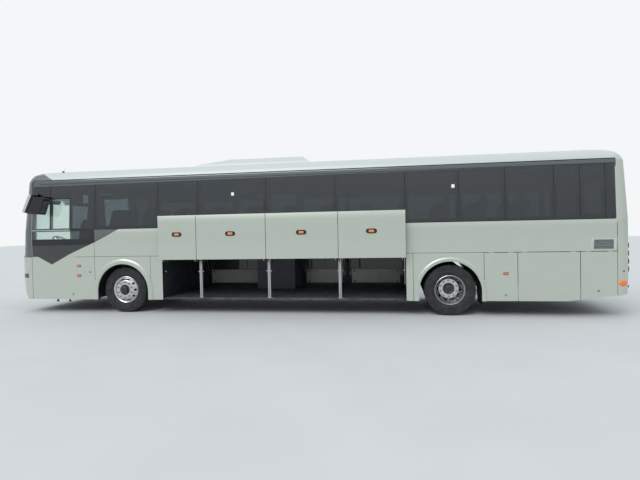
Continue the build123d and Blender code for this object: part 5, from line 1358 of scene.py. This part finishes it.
# columns: y, z, radius of the lamp's lens
MODULES = [(0.800, 0.766, 0.033), (0.925, 0.779, 0.036), (1.050, 0.795, 0.036)]
for way in (-1, 1):
    for y, z, r in MODULES:
        spot, normal = from_front("headlamps", way * y, z)
        before = set(bm.verts)
        turned(bm, [(r, -0.034), (r + 0.006, -0.034), (r + 0.006, -0.006), (r + 0.003, -0.004), (r, -0.007)],
               (0, 0, 0), axis="z", finish=1, steps=32)
        turned(bm, [(0, -0.010), (r * 0.5, -0.0125), (r * 0.82, -0.018), (r * 0.97, -0.026),
                    (r * 0.97, -0.032), (0, -0.032)],
               (0, 0, 0), axis="z", finish=2, steps=32, closed=False)
        laid(bm, before, spot, normal)
    guide = []
    for k in range(15):
        y, z = 0.735 + 0.515 * k / 14, 0.722 + (0.020 * k / 10 if k < 10 else 0.020 + 0.045 * (k - 10) / 4)
        spot, normal = from_front("headlamps", way * y, z)
        guide.append(spot - normal * GUIDE_IN)
    rod(bm, guide, 0.006, finish=3, sides=8)
make("headlamp_inside", bm, "root", gloss_black, chrome, clear_lens, led_white, smooth=35, slot="lamp_clear")

FOG_Y, FOG_Z, FOG_R = 0.850, 0.470, 0.062
bm = bmesh.new()
for way in (-1, 1):
    spot, normal = from_front("headlamps", way * FOG_Y, FOG_Z)
    before = set(bm.verts)
    turned(bm, [(FOG_R - 0.012, -0.020), (FOG_R + 0.004, -0.004), (FOG_R + 0.004, 0.003),
                (FOG_R - 0.003, 0.006), (FOG_R - 0.009, 0.002)], (0, 0, 0), axis="z", steps=40)
    turned(bm, [(0, 0.006), (0.025, 0.005), (0.045, 0.001), (0.052, -0.003), (0.052, -0.006), (0, -0.006)],
           (0, 0, 0), axis="z", finish=1, steps=40, closed=False)
    laid(bm, before, spot, normal)
make("fog_lamp_lenses", bm, "root", gloss_black, clear_lens, slot="lamp_clear")
print(2 * len(MODULES), "headlamp reflectors")

# %% [markdown]
# ## Mirrors and wipers
# Each mirror head hangs on an arm ahead of the driver's eyes and holds a leaning pane. Wiper blades are
# bent to the windscreen by the same rays, and an arm from a pivot below it presses on their middle.

# %% Mirror glass and its rim
# Silver seen through grey glass, which dulls the sky in it
mirror_silver = finish_named("darkened mirror", "#7d858a", 1.0, 0.04)[0]
MIRROR_IN, MIRROR_OUT = 1.350, 1.560
bm = bmesh.new()
for way, x, scale in MIRRORS:
    top, foot = Vector((x + scale * 0.565, 0, 2.520)), Vector((x + scale * 0.448, 0, 2.225))
    down = (foot - top).normalized()
    out = Vector((-down.z, 0, down.x))
    for shrink, lift, finish in ((0.012, 0.0015, 0), (0.018, 0.0030, 1)):
        ring = rounded(MIRROR_IN + shrink, MIRROR_OUT - shrink, shrink, (foot - top).length - shrink, 0.03)
        points = [top + Vector((0, way * u, 0)) + down * v + out * (lift - 0.003) for u, v in ring]
        plate(bm, points, out * 0.003, finish)
make("mirror_glass", bm, "root", black_plastic, mirror_silver, smooth=30, slot="black_plastic")

# %% Wipers
bm = bmesh.new()
for y0, y1, pivot in ((-0.760, -0.040, -0.700), (0.060, 0.780, 0.120)):
    blade = [from_front("wipers", y0 + 0.004 + (y1 - y0 - 0.008) * k / 12, 1.360)[0] for k in range(13)]
    rod(bm, [p + Vector((0.0105, 0, 0)) for p in blade], 0.0055, finish=1, sides=6)
    rod(bm, [p + Vector((0.005, 0, 0.004)) for p in blade[1:-1]], 0.0042, finish=0, sides=6)
    foot = from_front("windscreen_frame", pivot, 1.290)[0]
    if foot is None:
        foot = from_front("front_mask", pivot, 1.280)[0]
    middle = blade[6] + Vector((0.002, 0, 0))
    bar(bm, foot + Vector((0.02, 0, 0)), foot + Vector((-0.006, 0, 0)), 0.021, 0, 20)
    rod(bm, [foot + Vector((-0.001, 0, 0)), (foot + middle) / 2 + Vector((-0.003, 0, 0)), middle],
        0.007, 0, 8)
    ball(bm, middle, 0.010, 0, 10)
make("wiper_arms", bm, "root", black_plastic, rubber, slot="black_plastic", stands_for=["wipers"])
print("mirrors and wipers fitted")

# %% [markdown]
# ## Front plate and intake
# The plate is blank, and the panel above it bare. Behind the intake's slats stands a row of wires.

# %% Blank front plate and the intake's wires
# Coated mesh, so dark that it only shows against the slats
mesh_finish = finish_named("black expanded mesh", "#1a1b1c", 0.3, 0.5)[0]
PLATE_Y, PLATE_Z = 0.262, (0.632, 0.743)
# Coated sheet without print
plate_white = finish_named("blank number plate", "#e9ebea", roughness=0.35, Coat_Weight=0.3)[0]
bm = bmesh.new()
spot = from_front("front_mask", 0, sum(PLATE_Z) / 2)[0]
block(bm, (spot.x - 0.0045, -PLATE_Y, PLATE_Z[0]), (spot.x - 0.001, PLATE_Y, PLATE_Z[1]), 0.0015, 0)
block(bm, (spot.x - 0.003, -PLATE_Y - 0.006, PLATE_Z[0] - 0.006),
      (spot.x + 0.001, PLATE_Y + 0.006, PLATE_Z[1] + 0.006), 0.001, 1)
make("blank_plate_front", bm, "root", plate_white, black_plastic, slot="body_paint")

bm = bmesh.new()
WIRES, WIRE_PITCH, WIRE_DEEP = 38, 0.026, 0.034
for k in range(WIRES):
    y = WIRE_PITCH * (k - (WIRES - 1) / 2)
    x = from_front("front_mask", y, 0.372)[0].x + WIRE_DEEP
    bar(bm, (x, y, 0.392), (x - 0.008, y, 0.588), 0.0022, 0, 6)
make("intake_wires", bm, "root", mesh_finish, slot="black_plastic")
print(WIRES, "wires behind the intake")

# %% [markdown]
# ## Behind the windscreen
# A housing under the roof carries a blank destination display, and two roller blinds hang behind it,
# rolled up except for a hand's width.

# %% Blank destination display and blinds
# Coated cloth, opaque and matt
blind_cloth = finish_named("grey roller blind", "#5a5e60", roughness=0.85)[0]
BLIND_X, BLIND_FOOT, BLIND_TOP = -6.19, 2.505, 2.570
bm = bmesh.new()
block(bm, (-6.270, -0.780, 2.600), (-6.180, 0.780, 2.815), 0.012, 0)
block(bm, (-6.2745, -0.745, 2.625), (-6.2695, 0.745, 2.790), 0.002, 1)
for y0, y1 in ((-1.02, -0.10), (0.02, 1.02)):
    bar(bm, (BLIND_X, y0, BLIND_TOP), (BLIND_X, y1, BLIND_TOP), 0.020, 0, 16)
    bar(bm, (BLIND_X, y0, BLIND_FOOT), (BLIND_X, y1, BLIND_FOOT), 0.006, 2, 10)
    block(bm, (BLIND_X - 0.0008, y0 + 0.02, BLIND_FOOT), (BLIND_X + 0.0008, y1 - 0.02, BLIND_TOP), 0, 3)
make("display_and_blinds", bm, "root", dash_plastic, screen_black, steel, blind_cloth,
     slot="black_plastic")

# %% [markdown]
# ## Doors
# A round rubber tube follows each leaf's edge, and a flush handle with a key lock sits in its face. They
# are on the leaf's body, so they swing with it.

# %% Seals, handles and locks of the doors
# columns: body, leaf's front edge, leaf's rear edge, x of the handle
DOORS = [("front_door", -5.974, -5.026, -5.100), ("middle_door", -1.179, -0.336, -0.420)]
LEAF_Z, SEAL_DEEP, DOOR_GAP = (0.330, 2.820), 0.018, 0.002
for body, x0, x1, handle_x in DOORS:
    bm = bmesh.new()
    x0, x1 = x0 - DOOR_GAP, x1 + DOOR_GAP
    ring = [(x0, LEAF_Z[0]), (x0, WAIST), (x0, LEAF_Z[1]), (x1, LEAF_Z[1]), (x1, WAIST), (x1, LEAF_Z[0]),
            (x0, LEAF_Z[0])]
    rod(bm, [(x, skin_at(z) - SEAL_DEEP, z) for x, z in ring], 0.0055, 0, 8, smooth=False)
    make(f"seal_{body}", bm, body, rubber, slot="black_plastic")
    bm = bmesh.new()
    face = SKIN - 0.0012
    plate(bm, [(u, face, v) for u, v in rounded(handle_x - 0.034, handle_x + 0.034, 0.900, 0.985, 0.014)],
          (0, 0.0045, 0), 0, 0.001)
    key_lock(bm, handle_x, 0.868, 1, radius=0.013)
    bar(bm, (handle_x, face + 0.002, 0.943), (handle_x, face + 0.0075, 0.943), 0.019, 1, 24)
    make(f"handle_{body}", bm, body, black_plastic, steel, slot="black_plastic")

# %% Rails by the front steps
# Brushed stainless tube
rail_finish, tree, shader = finish_named("satin steel rail", "#b7babb", 1.0, 0.28)
vary_roughness(tree, shader, 0.22, 0.36, 30)
RAIL_R = 0.016
bm = bmesh.new()
rod(bm, [(-4.930, 0.360, 1.240), (-4.930, 0.360, 2.100), (-4.930, 0.420, 2.180), (-4.930, 1.020, 2.180)],
    RAIL_R, 0, 12)
rod(bm, [(x, 0.34, z) for x, z in
         ((-5.960, 0.970), (-5.960, 1.68), (-5.930, 1.76), (-5.700, 1.76), (-5.660, 1.70), (-5.660, 0.965))],
    RAIL_R, 0, 12)
make("front_handrails", bm, "root", rail_finish, slot="axle_metal")
print("front fitted")

# %% [markdown]
# ## The rear
# Four round lamps stand in a column on each corner. Their lens has a fine step every few millimetres,
# and a black ring seals it.

# %% Rings and lenses of the rear lamps
TAIL_Y, TAIL_R = 1.095, 0.060
# columns: height, colour of the lens
TAIL_ROWS = [(0.900, "white"), (1.050, "red"), (1.200, "amber"), (1.350, "red")]
# Milky acrylic, because fine ribs scatter what lies behind it
lens_white = finish_named("white ribbed lens", "#e6e9ea", roughness=0.15, Transmission_Weight=0.45)[0]
rear_lens = {"white": lens_white, "red": red_lens, "amber": orange_lens}
RIBBED = [(0.0, 0.0085)]
for k in range(8):
    r0, r1 = 0.006 * k + 0.004, 0.006 * k + 0.009
    RIBBED += [(r0, 0.0085 - 0.9 * r0 * r0), (r1, 0.0072 - 0.9 * r1 * r1)]
RIBBED += [(TAIL_R - 0.005, 0.003), (TAIL_R - 0.005, -0.002)]
TAIL_RING = [(TAIL_R - 0.007, 0.0), (TAIL_R - 0.007, 0.0065), (TAIL_R - 0.003, 0.0080),
             (TAIL_R + 0.004, 0.005), (TAIL_R + 0.006, 0.0)]
for colour, lens in rear_lens.items():
    bm = bmesh.new()
    for z, name in TAIL_ROWS:
        for way in (-1, 1) if name == colour else ():
            spot, normal = from_rear("tail_lamps", way * TAIL_Y, z)
            before = set(bm.verts)
            turned(bm, RIBBED, (0, 0, 0), axis="z", steps=40, closed=False)
            turned(bm, TAIL_RING, (0, 0, 0), axis="z", finish=1, steps=40)
            laid(bm, before, spot, normal)
    make(f"tail_lenses_{colour}", bm, "root", lens, gloss_black, smooth=25,
         slot={"white": "lamp_clear", "red": "lamp_red", "amber": "lamp_amber"}[colour])
print(2 * len(TAIL_ROWS), "tail lenses")

# %% [markdown]
# ## Lid, reflectors and corner lamps
# The lid carries a blank plate under two small lamps and a bowed handle between two locks. Reflectors
# sit in the bumper, and the corners carry large oval side lamps, laid over the curve point by point.

# %% Rear plate, lid handle and small lamps
REAR_PLATE_Z = (0.708, 0.822)
bm = bmesh.new()
x = from_rear("engine_lid", 0, sum(REAR_PLATE_Z) / 2)[0].x
block(bm, (x + 0.001, -PLATE_Y, REAR_PLATE_Z[0]), (x + 0.0045, PLATE_Y, REAR_PLATE_Z[1]), 0.0015, 0)
block(bm, (x - 0.001, -PLATE_Y - 0.005, REAR_PLATE_Z[0] - 0.005),
      (x + 0.003, PLATE_Y + 0.005, REAR_PLATE_Z[1] + 0.005), 0.001, 1)
for y in (-0.17, 0.17):
    x = from_rear("engine_lid", y, 0.842)[0].x
    block(bm, (x - 0.001, y - 0.03, 0.833), (x + 0.010, y + 0.03, 0.849), 0.003, 1)
make("blank_plate_rear", bm, "engine_lid", plate_white, black_plastic, slot="body_paint")

bm = bmesh.new()
spot = from_rear("engine_lid", 0, 0.620)[0]
rod(bm, [spot + Vector((dx, y, 0)) for y, dx in
         ((-0.09, 0.0), (-0.085, 0.012), (-0.06, 0.018), (0.06, 0.018), (0.085, 0.012), (0.09, 0.0))],
    0.007, 0, 10)
for y in (-0.80, 0.80):
    place = from_rear("engine_lid", y, 0.66)[0]
    bar(bm, place, place + Vector((0.005, 0, 0)), 0.018, 0, 20)
    bar(bm, place, place + Vector((0.0065, 0, 0)), 0.010, 1, 12)
make("lid_handle", bm, "engine_lid", black_plastic, steel, slot="black_plastic")

bm = bmesh.new()
for way in (-1, 1):
    spot, normal = from_rear("rear_panel", way * 1.100, 0.574)
    before = set(bm.verts)
    ring = [(u, v, 0) for u, v in rounded(-0.055, 0.055, -0.020, 0.020, 0.008, 3)]
    plate(bm, ring, (0, 0, 0.006), 1, 0.0012)
    ring = [(u, v, 0.004) for u, v in rounded(-0.048, 0.048, -0.014, 0.014, 0.006, 3)]
    plate(bm, ring, (0, 0, 0.0045), 0, 0.001)
    laid(bm, before, spot, normal)
make("rear_reflectors", bm, "root", red_lens, gloss_black, slot="lamp_red")

# Large oval side lamps wrap round both rear corners, each under a small round button
CORNER_LAMP, CORNER_HALF = (6.317, 0.645), (0.088, 0.055)
BUTTON = [(0, 0.006), (0.011, 0.0055), (0.015, 0.003), (0.0165, -0.002), (0, -0.002)]
# columns: share of the oval's half width, height over the panel
SWELL = [(0, 0.016), (0.35, 0.015), (0.6, 0.0125), (0.8, 0.009), (0.93, 0.005), (1, 0), (0.97, -0.003),
         (0.6, -0.003), (0.3, -0.003), (0, -0.003)]
bm = bmesh.new()
for way in (-1, 1):
    spot, normal = meet("rear_panel", (6.323, way * 4.0, 0.870), (0, -way, 0))
    before = set(bm.verts)
    turned(bm, BUTTON, (0, 0, 0), axis="z", finish=1, steps=20, closed=False)
    laid(bm, before, spot, normal)
    before = set(bm.verts)
    turned(bm, SWELL, (0, 0, 0), axis="z", steps=32, closed=False)
    for vert in set(bm.verts) - before:
        x, z = [middle + half * share for middle, half, share in zip(CORNER_LAMP, CORNER_HALF, vert.co)]
        spot, normal = meet("rear_panel", (x, way * 4.0, z), (0, -way, 0))
        vert.co = spot + normal * vert.co.z
make("rear_corner_lamps", bm, "root", orange_lens, black_plastic, slot="lamp_amber")
print("lid, reflectors and corner lamps fitted")

# %% [markdown]
# ## Side grille
# A bright flange with soft rims frames the slats, and a fine wire mesh lies before them. The mesh follows
# the slanted front edge, so every wire is cut to its own length.

# %% Frame and wire mesh over the side grille
# The body's paint made paler: a painted highlight, as the thin frame catches more light than the panel round
# it
highlit_grille_frame = metallic_paint("pale grille frame paint", "#ccd2cf", "#c4cac7")[0]
# Coated wire, matt enough not to glitter
mesh_grey = finish_named("grey coated wire mesh", "#8f9496", 0.2, 0.5)[0]
# columns: x, z of the corners
GRILLE_OUTER = [(5.732, 1.262), (6.203, 1.262), (6.196, 1.503), (5.768, 1.503)]
GRILLE_INNER = [(5.796, 1.284), (6.146, 1.284), (6.146, 1.468), (5.812, 1.468)]
FRAME_PROUD, MESH_PITCH, MESH_R, TUCK = 0.005, 0.0085, 0.0015, 0.003
bm = bmesh.new()
outer, inner = [[bm.verts.new((x, -SKIN, z)) for x, z in corners]
                for corners in (GRILLE_OUTER, GRILLE_INNER)]
flange = [bm.faces.new((outer[k], outer[(k + 1) % 4], inner[(k + 1) % 4], inner[k])) for k in range(4)]
pushed = bmesh.ops.extrude_face_region(bm, geom=flange)["geom"]
bmesh.ops.translate(bm, verts=[g for g in pushed if isinstance(g, bmesh.types.BMVert)],
                    vec=(0, -FRAME_PROUD, 0))
rims = [e for e in bm.edges if all(v.co.y < -SKIN - FRAME_PROUD / 2 for v in e.verts)
        and not (e.verts[0] in outer + inner)]
bmesh.ops.bevel(bm, geom=[e for e in rims if e.calc_face_angle(0) > 1], offset=0.003, segments=3,
                profile=0.5, affect="EDGES", material=-1)
(x0, z0), (x1, _), (_, z1), (slant_x, _) = GRILLE_INNER
slant = (slant_x - x0) / (z1 - z0)
for k in range(1, round((x1 - x0) / MESH_PITCH)):
    x = x0 + MESH_PITCH * k
    top = z1 if x > slant_x else z0 + (x - x0) / slant
    bar(bm, (x, -SKIN - 0.0016, z0 - TUCK), (x, -SKIN - 0.0016, top + TUCK), MESH_R, 1, 5)
for k in range(1, round((z1 - z0) / MESH_PITCH)):
    z = z0 + MESH_PITCH * k
    bar(bm, (x0 + slant * (z - z0) - TUCK, -SKIN - 0.0024, z), (x1 + TUCK, -SKIN - 0.0024, z), MESH_R, 1, 5)
make("side_grille_mesh", bm, "root", highlit_grille_frame, mesh_grey, slot="dark_paint")
print("grille wires every", MESH_PITCH, "m")

# %% [markdown]
# ## On the roof
# Wire guards lie over the four condenser fans, a whip aerial leans over the driver, and each roof hatch
# has two hinge blocks.

# %% Fan guards, aerial and hatch hinges
FAN_X = (-1.330, -0.920, -0.510, -0.100)
GUARD_Z, WIRE_R = 3.391, 0.0022
bm = bmesh.new()
for x in FAN_X:
    for k in range(6):
        r = 0.030 + 0.026 * k
        turned(bm, square_ring(r - WIRE_R, r + WIRE_R, GUARD_Z - WIRE_R, GUARD_Z + WIRE_R), (x, 0, 0),
               axis="z", steps=36)
    for k in range(8):
        angle = math.tau * k / 8
        u, v = math.cos(angle), math.sin(angle)
        bar(bm, (x + 0.028 * u, 0.028 * v, GUARD_Z), (x + 0.168 * u, 0.168 * v, GUARD_Z), 0.0026, 0, 6)
make("fan_guards", bm, "root", steel, slot="axle_metal")

bm = bmesh.new()
foot, tip = Vector((-5.476, -0.900, 3.168)), Vector((-5.407, -0.900, 3.312))
spot = meet("roof", (foot.x, foot.y, 4.0), (0, 0, -1))[0]
turned(bm, [(0, 0.030), (0.014, 0.028), (0.026, 0.012), (0.036, 0.002), (0.038, -0.006), (0, -0.006)],
       spot, axis="z", steps=24, closed=False)
bar(bm, spot + Vector((0, 0, 0.02)), tip, 0.0032, 0, 8, end_radius=0.0018)
for x in (-4.300, 3.900):
    for y in (-0.22, 0.22):
        block(bm, (x + 0.385, y - 0.03, 3.236), (x + 0.425, y + 0.03, 3.262), 0.005)
make("aerial_and_hinges", bm, "root", black_plastic, slot="black_plastic")
print(len(FAN_X), "fan guards")

# %% [markdown]
# ## Under the floor
# Little of this shows from the side, yet the arches and the luggage bays let it be seen. Air bellows of
# folded rubber carry the axles, a shaft joins engine and rear axle, and hoses run to the radiator.

# %% Air bellows, propeller shaft, engine fittings and brake discs
# columns: distance outwards from the bellows' neck, height
FOLDS = [(0, 0.475), (0.012, 0.482), (0.020, 0.497), (0.012, 0.512), (0.004, 0.518), (0.012, 0.524),
         (0.022, 0.541), (0.014, 0.558), (0.004, 0.565), (0.012, 0.571), (0.018, 0.585), (0.010, 0.600),
         (0, 0.606)]
bm = bmesh.new()
for axle, dx, neck in ((FRONT_AXLE, 0.220, 0.074), (REAR_AXLE, 0.330, 0.084)):
    for sx in (-1, 1):
        for way in (-1, 1):
            turned(bm, [(neck + out, z) for out, z in FOLDS], (axle + sx * dx, way * 0.420, 0), axis="z",
                   steps=32)
make("air_bellows", bm, "root", rubber, smooth=60, slot="tyre_rubber")

bm = bmesh.new()
bar(bm, (REAR_AXLE + 0.26, 0, 0.520), (4.285, 0, 0.640), 0.042, 0, 24)
for x, z in ((REAR_AXLE + 0.26, 0.520), (4.27, 0.638)):
    ball(bm, (x, 0, z), 0.062, 0, 16)
make("propeller_shaft", bm, "root", casting, slot="axle_metal")

bm = bmesh.new()
for k in range(7):
    x = 4.46 + 0.19 * k
    block(bm, (x, -0.392, 0.56), (x + 0.10, -0.378, 1.04), 0.008)
    block(bm, (x, 0.378, 0.56), (x + 0.10, 0.392, 1.04), 0.008)
block(bm, (4.36, -0.26, 1.112), (5.50, 0.26, 1.165), 0.02)
# Pulleys, the belt round them and two hoses to the radiator. columns: y, z, radius, sides
for y, z, r, sides in ((-0.18, 0.62, 0.115, 40), (0.16, 0.70, 0.075, 32), (0.02, 0.96, 0.060, 32)):
    bar(bm, (5.851, y, z), (5.885, y, z), r, 1, sides)
rod(bm, [(5.868, y, z) for y, z in
         ((-0.297, 0.62), (0.02, 1.022), (0.235, 0.70), (-0.18, 0.503), (-0.297, 0.62))], 0.007, 2, 8)
for heights in ((1.00, 1.02, 1.02, 0.98), (0.60, 0.57, 0.57, 0.60)):
    rod(bm, [(x, y, z) for (x, y), z in
             zip(((5.60, -0.39), (5.66, -0.62), (5.70, -0.85), (5.74, -1.025)), heights)], 0.032, 2, 14)
make("engine_fittings", bm, "root", engine_finish, steel, rubber, slot="engine_metal")

# Front discs sit inside the rim, rear ones beside the inner tyre. They turn with their wheel.
for label, body, x, places in WHEELS:
    way = 1 if places[0] > 0 else -1
    near = 0.935 if len(places) == 1 else 0.572
    bm = bmesh.new()
    # columns: outer radius, distance along the axle from and to. Two faces, and the hub between them.
    for r, t0, t1 in ((0.205, 0.0, 0.008), (0.205, 0.017, 0.025), (0.120, 0.007, 0.018)):
        turned(bm, square_ring(0.088, r, way * (near + t0), way * (near + t1)), (x, 0, TYRE_R), steps=48)
    make(f"brake_disc_{label}", bm, body, casting, slot="axle_metal")
print("rear, roof and underside fitted")

# %% [markdown]
# ## Finishes for the solids
# Most solid parts already have the right shape, so they only get their paint, glass or metal.

# %% Hand out the finishes
SOLID_FINISH = {
    "chassis": chassis_paint, "luggage_hold": hold_finish, "cabin_floor": floor_vinyl,
    "side_wall_left": wall_paint, "side_wall_right": wall_paint,
    "side_glass_left": tinted_glass, "side_glass_right": tinted_glass,
    "skirt_left": flap_paint, "skirt_right": flap_paint, "roof": roof_paint, "roof_unit": roof_paint,
    "front_mask": mask_paint, "windscreen_frame": hood_paint, "windscreen": clear_glass,
    "rear_panel": body_paint, "rear_glass": tinted_glass, "engine_lid": body_paint, "arch_trims": body_paint,
    "headlamps": clear_lens, "tail_lamps": red_lens, "side_lamps": amber, "mirrors": mirror_shell,
    "wipers": black_plastic, "driver_station": black_plastic, "engine": engine_finish,
    "arch_liners": black_plastic, "parcel_racks": shell_plastic,
    "front_axle": casting, "rear_axle": casting, "tie_rod": casting, "knuckle_left": casting,
    "knuckle_right": casting, "front_door": front_door_finish, "front_door_post": chassis_paint,
    "middle_door": middle_door_finish, "seats_left": black_plastic, "seats_right": black_plastic,
}
for name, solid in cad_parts.items():
    finish = SOLID_FINISH.get(name)
    if name.startswith(("hatch_right", "flap_")):
        finish = flap_paint
    if name.startswith("hatch_left"):
        finish = open_hatch_paint
    if name.startswith("hatch_arms"):
        finish = steel
    if name.startswith("wheel"):
        finish = rubber
    for k in range(len(solid.material_slots)):
        solid.material_slots[k].link = "OBJECT"
        solid.material_slots[k].material = finish
print("finishes on", len(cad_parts), "solids")
